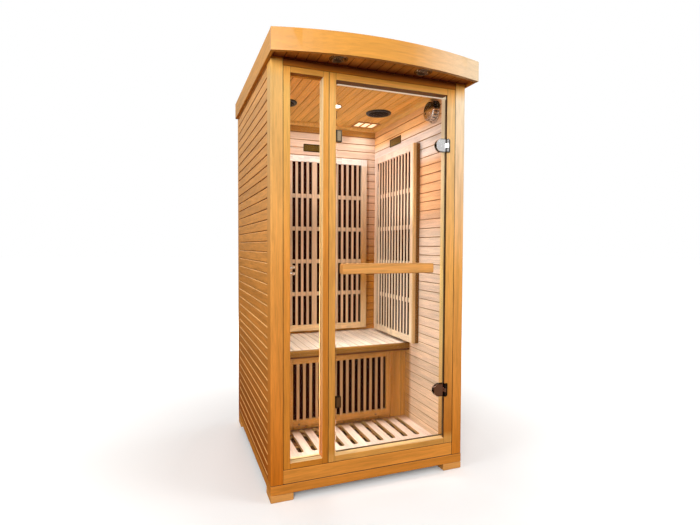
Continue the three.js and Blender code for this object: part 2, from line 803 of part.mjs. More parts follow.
// The ceiling boards run on past the front wall as the soffit of the crown
function ceiling(fittings) {
  const half = halfBody - FIT;
  const rear = backY - REAR_FASCIA - FIT;
  const section = boards(2 * half, CEILING_THICKNESS, BOARD_COVER, (along, deep) => [
    along - half,
    ceilingBottom + deep,
  ]);
  const plan = bowedPlan(half, fasciaInnerRadius - FIT, rear);
  const panel = common(
    alongY(section, -backY, rear),
    alongZ(plan, fasciaBottom, TOTAL_HEIGHT, 0, BOW_SEGMENTS),
  );
  const holes = fittings.map(({ x, y, radius }) => (
    rod(radius + 2 * FIT, fasciaBottom, TOTAL_HEIGHT, ROUND_SEGMENTS).translate(x, y, 0)
  ));
  const halfWidth = LIGHT_WIDTH / 2 - LIGHT_RECESS_BORDER;
  const halfDepth = LIGHT_DEPTH / 2 - LIGHT_RECESS_BORDER;
  const lightHole = block(
    lightX - halfWidth,
    lightX + halfWidth,
    lightY - halfDepth,
    lightY + halfDepth,
    fasciaBottom,
    TOTAL_HEIGHT,
  );
  return piece('ceiling_panel', cut(panel, ...holes, lightHole), 'paleWood');
}

function crown(fittings) {
  const half = halfBody - FIT;
  const rear = backY - REAR_FASCIA - FIT;
  const roofTop = TOTAL_HEIGHT - ROOF_RECESS;
  const roof = alongZ(
    bowedPlan(half, fasciaInnerRadius - FIT, rear),
    roofTop - ROOF_THICKNESS,
    roofTop,
    0,
    BOW_SEGMENTS,
  );
  const inletHole = alongY(
    rectangle(
      INLET_FROM_CENTRE - INLET_WIDTH / 2,
      INLET_FROM_CENTRE + INLET_WIDTH / 2,
      inletZ - INLET_HEIGHT / 2,
      inletZ + INLET_HEIGHT / 2,
    ),
    backY - 2 * REAR_FASCIA,
    backY + REAR_FASCIA,
  );
  const rearBoard = block(-half, half, backY - REAR_FASCIA, backY, ceilingBottom, TOTAL_HEIGHT);
  return group(
    ceiling(fittings),
    frontFascia(),
    sideFascia('left', -1),
    sideFascia('right', 1),
    piece('crown_rear_fascia', cut(rearBoard, inletHole), 'honeyWood'),
    piece('roof_panel', roof, 'roofWood'),
  );
}

// Section of a quarter-round strip under the ceiling, with its corner on the wall face `corner`
function quarterRound(corner, sign) {
  const top = ceilingBottom - FIT;
  const shape = new THREE.Shape();
  shape.moveTo(corner, top);
  shape.lineTo(corner - sign * CORNICE_LEG, top);
  if (sign > 0) shape.absarc(corner, top, CORNICE_LEG, Math.PI, 1.5 * Math.PI, false);
  else shape.absarc(corner, top, CORNICE_LEG, 0, -Math.PI / 2, true);
  return shape;
}

// Cornice: one frame of quarter-round strips in the corners between the ceiling and the walls
function cornice() {
  const half = sideInnerX - FIT;
  const front = frontInnerY + FIT;
  const rear = rearInnerY - FIT;
  const strips = join(
    alongY(quarterRound(-half, -1), front, rear),
    alongY(quarterRound(half, 1), front, rear),
    alongX(quarterRound(front, -1), -half, half),
    alongX(quarterRound(rear, 1), -half, half),
  );
  return piece('cornice', strips, 'paleWood');
}

// Recessed lamp: can, dished reflector and bezel, with its bezel against the boards at height 0
function lampForm() {
  return turned([
    [0, LAMP_LENS_RECESS],
    [LAMP_RADIUS - 6, LAMP_LENS_RECESS],
    [LAMP_RADIUS - 2, -LAMP_BEZEL_DROP + 1],
    [LAMP_RADIUS + 2, -LAMP_BEZEL_DROP],
    [LAMP_BEZEL_RADIUS - 2, -LAMP_BEZEL_DROP + 1],
    [LAMP_BEZEL_RADIUS, -FIT],
    [LAMP_RADIUS, -FIT],
    [LAMP_RADIUS, LAMP_BODY_HEIGHT],
    [0, LAMP_BODY_HEIGHT],
  ]);
}

// Ceiling speaker: domed grille in a raised rim, with the basket and magnet above the boards
function speakerForm() {
  const magnetLow = SPEAKER_BODY_HEIGHT - SPEAKER_MAGNET_HEIGHT;
  return turned([
    [0, -SPEAKER_RIM_DROP - SPEAKER_DOME],
    [SPEAKER_RADIUS * 0.5, -SPEAKER_RIM_DROP - SPEAKER_DOME * 0.8],
    [SPEAKER_RADIUS * 0.85, -SPEAKER_RIM_DROP - SPEAKER_DOME * 0.35],
    [SPEAKER_RADIUS, -SPEAKER_RIM_DROP + 2],
    [SPEAKER_RADIUS + 2, -SPEAKER_RIM_DROP],
    [SPEAKER_RIM_RADIUS - 3, -SPEAKER_RIM_DROP + 2],
    [SPEAKER_RIM_RADIUS, -FIT],
    [SPEAKER_RADIUS, -FIT],
    [SPEAKER_RADIUS, CEILING_THICKNESS],
    [SPEAKER_MAGNET_RADIUS, magnetLow],
    [SPEAKER_MAGNET_RADIUS, SPEAKER_BODY_HEIGHT],
    [0, SPEAKER_BODY_HEIGHT],
  ]);
}

function ceilingLight() {
  const left = lightX - LIGHT_WIDTH / 2;
  const front = lightY - LIGHT_DEPTH / 2;
  const paneWidth = (LIGHT_WIDTH - 2 * LIGHT_BORDER - (LIGHT_PANES - 1) * LIGHT_MULLION) / LIGHT_PANES;
  const panes = [];
  for (let pane = 0; pane < LIGHT_PANES; pane += 1) {
    const x = left + LIGHT_BORDER + pane * (paneWidth + LIGHT_MULLION);
    panes.push(block(
      x,
      x + paneWidth,
      front + LIGHT_BORDER,
      front + LIGHT_DEPTH - LIGHT_BORDER,
      fasciaBottom - LIGHT_FRAME_DROP,
      ceilingTop,
    ));
  }
  const frameTop = ceilingBottom - FIT;
  const frame = block(
    left,
    left + LIGHT_WIDTH,
    front,
    front + LIGHT_DEPTH,
    frameTop - LIGHT_FRAME_DROP,
    frameTop,
    EDGE_CHAMFER,
  );
  const border = LIGHT_RECESS_BORDER + FIT;
  const diffuser = block(
    left + border,
    left + LIGHT_WIDTH - border,
    front + border,
    front + LIGHT_DEPTH - border,
    ceilingBottom,
    ceilingBottom + DIFFUSER_THICKNESS,
  );
  return group(
    piece('ceiling_light_frame', cut(frame, ...panes), 'honeyWood'),
    piece('ceiling_light_diffuser', diffuser, 'whitePlastic'),
  );
}

// Round ioniser: flange on the wall, slotted side and a domed face, turned about the wall's normal
function ioniser() {
  const form = turned([
    [0, 0],
    [IONISER_RADIUS, 0],
    [IONISER_RADIUS, IONISER_FLANGE - 2],
    [IONISER_RADIUS - 2, IONISER_FLANGE],
    [IONISER_BODY_RADIUS, IONISER_FLANGE],
    [IONISER_BODY_RADIUS, IONISER_DEPTH - 8],
    [IONISER_BODY_RADIUS - 6, IONISER_DEPTH - 3],
    [IONISER_FACE_RADIUS, IONISER_DEPTH - 1],
    [IONISER_FACE_RADIUS - 3, IONISER_DEPTH - 4],
    [0, IONISER_DEPTH],
  ]);
  const low = IONISER_FLANGE + 2;
  const slots = [];
  for (let slot = 0; slot < IONISER_SLOTS; slot += 1) {
    const cutter = block(
      IONISER_BODY_RADIUS - IONISER_SLOT_DEPTH,
      IONISER_RADIUS + IONISER_SLOT_DEPTH,
      -IONISER_SLOT_WIDTH / 2,
      IONISER_SLOT_WIDTH / 2,
      low,
      low + IONISER_SLOT_LENGTH,
    );
    slots.push(cutter.rotateZ((2 * Math.PI * slot) / IONISER_SLOTS));
  }
  const mesh = piece('ioniser', cut(form, ...slots), 'chrome');
  mesh.rotation.y = -Math.PI / 2;
  const top = ceilingBottom - CORNICE_LEG - IONISER_BELOW_CORNICE;
  mesh.position.set(sideInnerX - FIT, frontY + IONISER_FROM_FRONT, top - IONISER_RADIUS);
  return mesh;
}

// Robe hook: a round rose with an upper and a lower prong that end in balls
function robeHook() {
  const rose = rod(HOOK_ROSE_RADIUS, 0, HOOK_ROSE_THICKNESS).rotateY(Math.PI / 2);
  const diagonal = HOOK_BALL_RADIUS * Math.SQRT1_2;
  const prongs = [HOOK_SPREAD / 2, -HOOK_SPREAD / 2].map((rise) => {
    const length = Math.hypot(HOOK_REACH, rise);
    const stem = rod(HOOK_PRONG_RADIUS, HOOK_ROSE_THICKNESS / 2, length, KEY_SEGMENTS);
    const ball = turned([
      [0, -HOOK_BALL_RADIUS],
      [diagonal, -diagonal],
      [HOOK_BALL_RADIUS, 0],
      [diagonal, diagonal],
      [0, HOOK_BALL_RADIUS],
    ], KEY_SEGMENTS);
    return join(stem, ball.translate(0, 0, length)).rotateY(Math.atan2(HOOK_REACH, rise));
  });
  const mesh = piece('robe_hook', join(rose, ...prongs), 'chrome');
  mesh.position.set(-sideInnerX + FIT, frontInnerY + HOOK_FROM_FRONT_WALL, HOOK_CENTRE_HEIGHT);
  return mesh;
}

// Slatted heater: a cover facing -Y, open to the wall at y = 0, with the emitter behind its slats.
// Each entry of `columns` is the number of slots between two stiles.
function heater(name, { width, height, depth, stile, middleStile, rail, columns, bars }) {
  const front = -depth;
  const slatRear = front + HEATER_SLAT_THICKNESS;
  const barRear = slatRear + HEATER_BAR_THICKNESS;
  const inner = width / 2 - stile;
  const columnWidth = (2 * inner - (columns.length - 1) * middleStile) / columns.length;
  const hollows = [block(-inner, inner, barRear, depth, rail, height - rail)];
  columns.forEach((count, column) => {
    const left = -inner + column * (columnWidth + middleStile);
    const slat = (columnWidth - count * HEATER_SLOT) / (count - 1);
    hollows.push(block(left, left + columnWidth, slatRear, depth, rail, height - rail));
    for (let slot = 0; slot < count; slot += 1) {
      const x = left + slot * (HEATER_SLOT + slat);
      hollows.push(block(x, x + HEATER_SLOT, 2 * front, depth, rail, height - rail));
    }
  });
  const casing = cut(block(-width / 2, width / 2, front, 0, 0, height), ...hollows);
  const crossBars = [];
  for (let bar = 1; bar <= bars; bar += 1) {
    const middle = rail + ((height - 2 * rail) * bar) / (bars + 1) - HEATER_BAR_DROP;
    const low = middle - HEATER_BAR_HEIGHT / 2;
    const high = middle + HEATER_BAR_HEIGHT / 2;
    crossBars.push(block(-inner - stile / 2, inner + stile / 2, slatRear + FIT, barRear, low, high));
  }
  const emitter = block(
    -inner + FIT,
    inner - FIT,
    barRear + FIT,
    barRear + FIT + EMITTER_THICKNESS,
    rail + FIT,
    height - rail - FIT,
  );
  return group(
    piece(`${name}_heater_cover`, join(casing, ...crossBars), 'paleWood'),
    piece(`${name}_heater_emitter`, emitter, 'emitter'),
  );
}

function heaters() {
  const whole = group();
  const place = (unit, x, y, z, turn) => {
    unit.position.set(x, y, z);
    unit.rotation.z = turn;
    whole.add(unit);
  };
  const wallHeater = { height: HEATER_HEIGHT, depth: HEATER_DEPTH, rail: HEATER_RAIL, bars: HEATER_BARS };
  const wallZ = BENCH_HEIGHT + HEATER_ABOVE_BENCH;
  const rear = heater('rear', {
    ...wallHeater,
    width: REAR_HEATER_WIDTH,
    stile: REAR_HEATER_STILE,
    middleStile: REAR_HEATER_MIDDLE_STILE,
    columns: [REAR_HEATER_SLOTS, REAR_HEATER_SLOTS],
  });
  place(rear, REAR_HEATER_SHIFT, rearInnerY - FIT, wallZ, 0);
  const sideSizes = {
    ...wallHeater,
    width: SIDE_HEATER_WIDTH,
    stile: SIDE_HEATER_STILE,
    middleStile: 0,
    columns: [SIDE_HEATER_SLOTS],
  };
  const sideY = sideHeaterRearY - SIDE_HEATER_WIDTH / 2;
  place(heater('right', sideSizes), sideInnerX - FIT, sideY, wallZ, -Math.PI / 2);
  place(heater('left', sideSizes), -sideInnerX + FIT, sideY, wallZ, Math.PI / 2);
  const calf = heater('calf', {
    width: CALF_HEATER_WIDTH,
    height: nosingBottom - CALF_HEATER_BELOW_NOSING - calfHeaterBottom,
    depth: CALF_HEATER_DEPTH,
    stile: CALF_HEATER_STILE,
    middleStile: 0,
    rail: CALF_HEATER_RAIL,
    columns: [CALF_HEATER_SLOTS],
    bars: 0,
  });
  place(calf, CALF_HEATER_SHIFT, benchPanelY - FIT, calfHeaterBottom, 0);
  return whole;
}

// Bench: board top behind a rounded nosing, on a boarded front panel with a cleat along each side wall
function bench() {
  const half = sideInnerX - FIT;
  const nosingRear = benchFrontY + NOSING_THICKNESS;
  const topBoards = boards(2 * half, BENCH_THICKNESS, BOARD_COVER, (along, deep) => [
    along - half,
    BENCH_HEIGHT - deep,
  ]);
  const frontBoards = boards(2 * half, BENCH_FRONT_THICKNESS, BENCH_FRONT_BOARD_COVER, (along, deep) => [
    along - half,
    benchPanelY + deep,
  ]);
  const nosing = new THREE.Shape();
  nosing.moveTo(nosingRear - FIT, BENCH_HEIGHT);
  nosing.lineTo(nosingRear - FIT, nosingBottom);
  nosing.lineTo(benchFrontY, nosingBottom);
  nosing.absarc(
    benchFrontY + NOSING_RADIUS,
    BENCH_HEIGHT - NOSING_RADIUS,
    NOSING_RADIUS,
    Math.PI,
    Math.PI / 2,
    true,
  );
  const cleat = (left) => block(
    left,
    left + CLEAT_WIDTH,
    benchPanelY + BENCH_FRONT_THICKNESS / 2,
    rearInnerY - FIT,
    benchUnderside - CLEAT_HEIGHT,
    benchUnderside - FIT,
  );
  const support = join(
    alongZ(frontBoards, wallBottom, benchUnderside - FIT),
    cleat(-half),
    cleat(half - CLEAT_WIDTH),
  );
  return group(
    piece('bench_top', alongY(topBoards, nosingRear, rearInnerY - FIT), 'paleWood'),
    piece('bench_nosing', alongX(nosing, -half, half), 'paleWood'),
    piece('bench_front_panel', support, 'paleWood'),
  );
}

// Control panel on the left lining: flat keypad with a sunk display window and round keys in relief
function controlPanel() {
  const halfWidth = PANEL_WIDTH / 2;
  const halfHeight = PANEL_HEIGHT / 2;
  const form = alongX(
    roundedRectangle(-halfWidth, halfWidth, -halfHeight, halfHeight, PANEL_CORNER_RADIUS),
    0,
    PANEL_DEPTH,
    EDGE_CHAMFER,
  );
  const displayLow = halfHeight - 2 * PANEL_CORNER_RADIUS - DISPLAY_HEIGHT;
  const display = alongX(
    rectangle(-DISPLAY_WIDTH / 2, DISPLAY_WIDTH / 2, displayLow, displayLow + DISPLAY_HEIGHT),
    PANEL_DEPTH - DISPLAY_RECESS,
    2 * PANEL_DEPTH,
  );
  const keys = [];
  for (let row = 0; row < KEY_ROWS; row += 1) {
    for (let key = 0; key < KEYS_PER_ROW; key += 1) {
      const y = (key - (KEYS_PER_ROW - 1) / 2) * KEY_PITCH;
      const z = displayLow - 2 * KEY_RADIUS - row * KEY_ROW_PITCH;
      const stud = rod(KEY_RADIUS, 0, KEY_RELIEF + EDGE_CHAMFER, KEY_SEGMENTS).rotateY(Math.PI / 2);
      keys.push(stud.translate(PANEL_DEPTH - EDGE_CHAMFER, y, z));
    }
  }
  const mesh = piece('control_panel', join(cut(form, display), ...keys), 'blackPlastic');
  mesh.position.set(-sideInnerX + FIT, (frontInnerY + sideHeaterFrontY) / 2, PANEL_CENTRE_HEIGHT);
  return mesh;
}

// Power box on the ceiling boards in the roof space, and the mains inlet in the rear fascia
function power() {
  const half = POWER_BOX_WIDTH / 2;
  const rear = backY - REAR_FASCIA - POWER_BOX_FROM_REAR;
  const front = rear - POWER_BOX_DEPTH;
  const low = ceilingTop + FIT;
  const box = join(
    block(-half, half, front, rear, low, low + POWER_BOX_HEIGHT, EDGE_CHAMFER),
    block(-half - POWER_BOX_FLANGE, half + POWER_BOX_FLANGE, front, rear, low, low + POWER_BOX_SHEET),
  );
  const width = INLET_WIDTH / 2 - FIT;
  const height = INLET_HEIGHT / 2 - FIT;
  const face = backY - FIT;
  const body = alongY(
    roundedRectangle(-width, width, -height, height, INLET_WALL),
    face - INLET_BODY,
    face,
  );
  const socketWidth = width - INLET_WALL;
  const socketHeight = height - INLET_WALL;
  const socket = alongY(
    roundedRectangle(-socketWidth, socketWidth, -socketHeight, socketHeight, INLET_WALL / 2),
    face - INLET_RECESS,
    face + INLET_RECESS,
  );
  const pins = [-1, 0, 1].map((place) => {
    const x = place * (width / 2);
    const z = place === 0 ? INLET_PIN / 2 : -INLET_PIN / 2;
    return alongY(
      rectangle(x - INLET_PIN / 4, x + INLET_PIN / 4, z - INLET_PIN / 2, z + INLET_PIN / 2),
      face - INLET_RECESS - FIT,
      face - INLET_RECESS + INLET_PIN_LENGTH,
    );
  });
  const inlet = piece('power_inlet', join(cut(body, socket), ...pins), 'blackPlastic');
  inlet.position.set(INLET_FROM_CENTRE, 0, inletZ);
  return group(piece('power_box', box, 'steel'), inlet);
}

// Round fittings let into the ceiling boards and the soffit
function roundFittings() {
  const soffitY = frontY - DOWNLIGHT_SETBACK;
  const soffitX = halfBody - DOWNLIGHT_FROM_SIDE;
  const speakerX = sideInnerX - SPEAKER_FROM_SIDE;
  const lamp = (name, x, y) => ({ name, x, y, radius: LAMP_RADIUS, form: lampForm, finish: 'chrome' });
  const speaker = (name, x) => ({
    name, x, y: speakerY, radius: SPEAKER_RADIUS, form: speakerForm, finish: 'blackPlastic',
  });
  return [
    lamp('left_downlight', -soffitX, soffitY),
    lamp('right_downlight', soffitX, soffitY),
    lamp('ceiling_spot', 0, frontY + SPOT_FROM_FRONT),
    speaker('left_speaker', -speakerX),
    speaker('right_speaker', speakerX),
  ];
}

const fittings = roundFittings();
const cabin = group(
  base(),
  duckboard(),
  sideWall('left', -1),
  sideWall('right', 1),
  rearWall(),
  frontWall(),
  door(),
  crown(fittings),
  cornice(),
  ceilingLight(),
  ioniser(),
  robeHook(),
  heaters(),
  bench(),
  controlPanel(),
  power(),
);
for (const { name, x, y, form, finish } of fittings) {
  const mesh = piece(name, form(), finish);
  mesh.position.set(x, y, ceilingBottom);
  cabin.add(mesh);
}

export default cabin;
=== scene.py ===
import math

import bmesh
import bpy
from mathutils import Matrix, Vector


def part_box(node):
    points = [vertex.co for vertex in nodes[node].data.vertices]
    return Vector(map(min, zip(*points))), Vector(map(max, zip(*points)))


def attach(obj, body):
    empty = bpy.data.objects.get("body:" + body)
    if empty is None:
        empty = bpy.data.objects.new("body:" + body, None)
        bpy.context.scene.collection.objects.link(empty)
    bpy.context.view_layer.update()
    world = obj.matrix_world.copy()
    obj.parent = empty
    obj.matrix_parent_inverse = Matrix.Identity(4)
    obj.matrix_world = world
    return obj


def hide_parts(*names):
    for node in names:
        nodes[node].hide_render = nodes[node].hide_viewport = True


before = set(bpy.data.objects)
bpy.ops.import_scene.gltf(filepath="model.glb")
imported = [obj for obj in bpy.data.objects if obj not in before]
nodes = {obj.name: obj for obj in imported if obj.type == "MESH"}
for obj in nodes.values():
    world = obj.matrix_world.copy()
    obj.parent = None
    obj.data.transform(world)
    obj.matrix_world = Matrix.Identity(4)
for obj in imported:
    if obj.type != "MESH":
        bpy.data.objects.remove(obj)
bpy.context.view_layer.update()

X, Y, Z = 0, 1, 2
LOW, HIGH = 0, 1

# Boards, joints and openings, in metres
BOARD = 0.045
LINING_BOARD = 0.0466
BENCH_FRONT_BOARD = 0.070
DUCKBOARD_BOARD = 0.0686
HEATER_BOARD = 0.0351
EDGE_BOARD = 0.008
JOINT_REACH = 0.0018
BENCH_JOINT_REACH = 0.0036
SEAM = 0.0013
RAIL_SEAM = 0.0006
REVEAL = 0.0026
WINDOW_OPENING = (X, -0.378, -0.238, 0.157, 1.767)
DOOR_OPENING = (X, -0.181, 0.363, 0.158, 1.762)
DOOR_GAP = -0.398
NO_GAP = -1.0
REAR_STILE, SIDE_STILE, CALF_STILE = 0.036, 0.042, 0.025
HEATER_RAIL, CALF_RAIL = 0.036, 0.031


# Node trees


def rgb(colour):
    return (*colour, 1.0)


def scaled(colour, factor, lift=0.0):
    return tuple(c * factor + lift for c in colour)


class Tree:
    """A node tree, with short names for the nodes that it is made of."""

    def __init__(self, owner):
        owner.use_nodes = True
        self.tree = owner.node_tree
        self.tree.nodes.clear()

    def add(self, kind, inputs=None, **settings):
        node = self.tree.nodes.new(kind)
        for key, value in settings.items():
            setattr(node, key, value)
        for key, value in (inputs or {}).items():
            socket = node.inputs[key]
            if isinstance(value, bpy.types.NodeSocket):
                self.tree.links.new(value, socket)
            else:
                socket.default_value = value
        return node

    def split(self, vector):
        return self.add("ShaderNodeSeparateXYZ", {0: vector}).outputs

    def math(self, operation, a, b=0.0):
        return self.add("ShaderNodeMath", {0: a, 1: b}, operation=operation).outputs[0]

    def times(self, a, b):
        return self.math("MULTIPLY", a, b)

    def less(self, value, limit):
        return self.math("LESS_THAN", value, limit)

    def more(self, value, limit):
        return self.math("GREATER_THAN", value, limit)

    def between(self, value, low, high):
        return self.times(self.more(value, low), self.less(value, high))

    def near(self, value, at, width):
        return self.between(value, at - width, at + width)

    def span(self, value, start, end, low=0.0, high=1.0):
        """Run from `low` to `high` while the value runs from `start` to `end`."""
        inputs = {0: value, 1: start, 2: end, 3: low, 4: high}
        return self.add("ShaderNodeMapRange", inputs, clamp=True).outputs[0]

    def stretch(self, vector, factors):
        inputs = {0: vector, 1: factors}
        return self.add("ShaderNodeVectorMath", inputs, operation="MULTIPLY").outputs[0]

    def shift(self, vector, other):
        return self.add("ShaderNodeVectorMath", {0: vector, 1: other}, operation="ADD").outputs[0]

    def vector(self, x, y, z):
        return self.add("ShaderNodeCombineXYZ", {0: x, 1: y, 2: z}).outputs[0]

    def mix(self, factor, a, b, blend="MIX"):
        inputs = {0: factor, 6: a, 7: b}
        return self.add("ShaderNodeMix", inputs, data_type="RGBA", blend_type=blend).outputs[2]

    def mix_vector(self, factor, a, b):
        return self.add("ShaderNodeMix", {0: factor, 4: a, 5: b}, data_type="VECTOR").outputs[1]

    def mix_value(self, factor, a, b):
        return self.add("ShaderNodeMix", {0: factor, 2: a, 3: b}, data_type="FLOAT").outputs[0]

    def mix_shader(self, factor, a, b):
        return self.add("ShaderNodeMixShader", {0: factor, 1: a.outputs[0], 2: b.outputs[0]})

    def tinted(self, colour, tint):
        return self.mix(1.0, colour, tint, "MULTIPLY")

    def dimmed(self, colour, level):
        return self.tinted(colour, self.vector(level, level, level))

    def noise(self, vector, scale, detail=3.0, roughness=0.5, distortion=0.0):
        return self.add("ShaderNodeTexNoise", {
            "Vector": vector,
            "Scale": scale,
            "Detail": detail,
            "Roughness": roughness,
            "Distortion": distortion,
        }).outputs[0]

    def mottled(self, pattern, first, second):
        """Two colours in soft patches of a noise pattern."""
        return self.mix(self.span(pattern, 0.35, 0.65), rgb(first), rgb(second))

    def uneven(self, pattern, low, high):
        """A value that follows a noise pattern from `low` to `high`."""
        return self.span(pattern, 0.3, 0.7, low, high)

    def seen(self):
        """One where the camera looks, straight or through glass, and zero for other rays."""
        path = self.add("ShaderNodeLightPath").outputs
        return self.math("MAXIMUM", path["Is Camera Ray"], path["Is Transmission Ray"])


class Graph(Tree):
    """A material, built from the coordinates to the shader."""

    def __init__(self, name):
        self.material = bpy.data.materials.new(name)
        super().__init__(self.material)
        self.out = self.add("ShaderNodeOutputMaterial")
        spot = self.add("ShaderNodeTexCoord").outputs
        self.place = spot["Object"]
        self.axis = self.split(self.place)
        self.facing = self.split(spot["Normal"])

    def bump(self, height, strength, distance):
        inputs = {"Height": height, "Strength": strength, "Distance": distance}
        return self.add("ShaderNodeBump", inputs).outputs[0]

    def principled(self, inputs):
        return self.add("ShaderNodeBsdfPrincipled", inputs)

    def finish(self, shader):
        self.tree.links.new(shader.outputs[0], self.out.inputs[0])
        return self.material


# Wood

# Heights of the three tones; the change between them is largely painted light and shade
TONE_HEIGHTS = (0.1, 0.95, 1.75)
JOINT_WARMTH = (1.0, 0.72, 0.36)
STREAK_WARMTH = (0.72, 0.52, 0.34)
GRAIN_STRETCH = 16.0
BOARD_VARIETY = 0.10
BOARD_RISE = 0.5
BOARD_SHIFT = (3.71, 5.13)
SEED_SHIFT = (1.7, 0.9, 2.3)
LOT_SEED = 0.37
FIGURE_SHARE, FIBRE_SHARE = 0.55, 0.45
GRAIN_RANGE = (0.32, 0.68)
GRAIN_RISE = 0.55
STREAK_RANGE = (0.58, 0.74)
STREAK_SHARE = 0.30
RAIL_SEAM_LIGHT = 0.35
SEAM_LIGHT = 0.22
LOWER_EDGE_LIGHT = 0.55
UPPER_EDGE_LIGHT = 1.12

# How far a face looks along an axis, as the cosine of the angle between them
ALONG = 0.5
NOT_FRONT = -0.6
LOWER_EDGE = (-0.6, -0.1)
UPPER_EDGE = (0.1, 0.6)
ARRIS_EDGE = (0.15, 0.5)


def grain_scale(axis):
    return tuple(1.0 if i == axis else GRAIN_STRETCH for i in range(3))


def by_height(g, tone):
    """One colour, or three from the bottom of the cabin to its top."""
    bottom, centre, top = tone if isinstance(tone[0], tuple) else (tone, tone, tone)
    foot, waist, head = TONE_HEIGHTS
    colour = g.mix(g.span(g.axis[Z], foot, waist), rgb(bottom), rgb(centre))
    return g.mix(g.span(g.axis[Z], waist, head), colour, rgb(top))


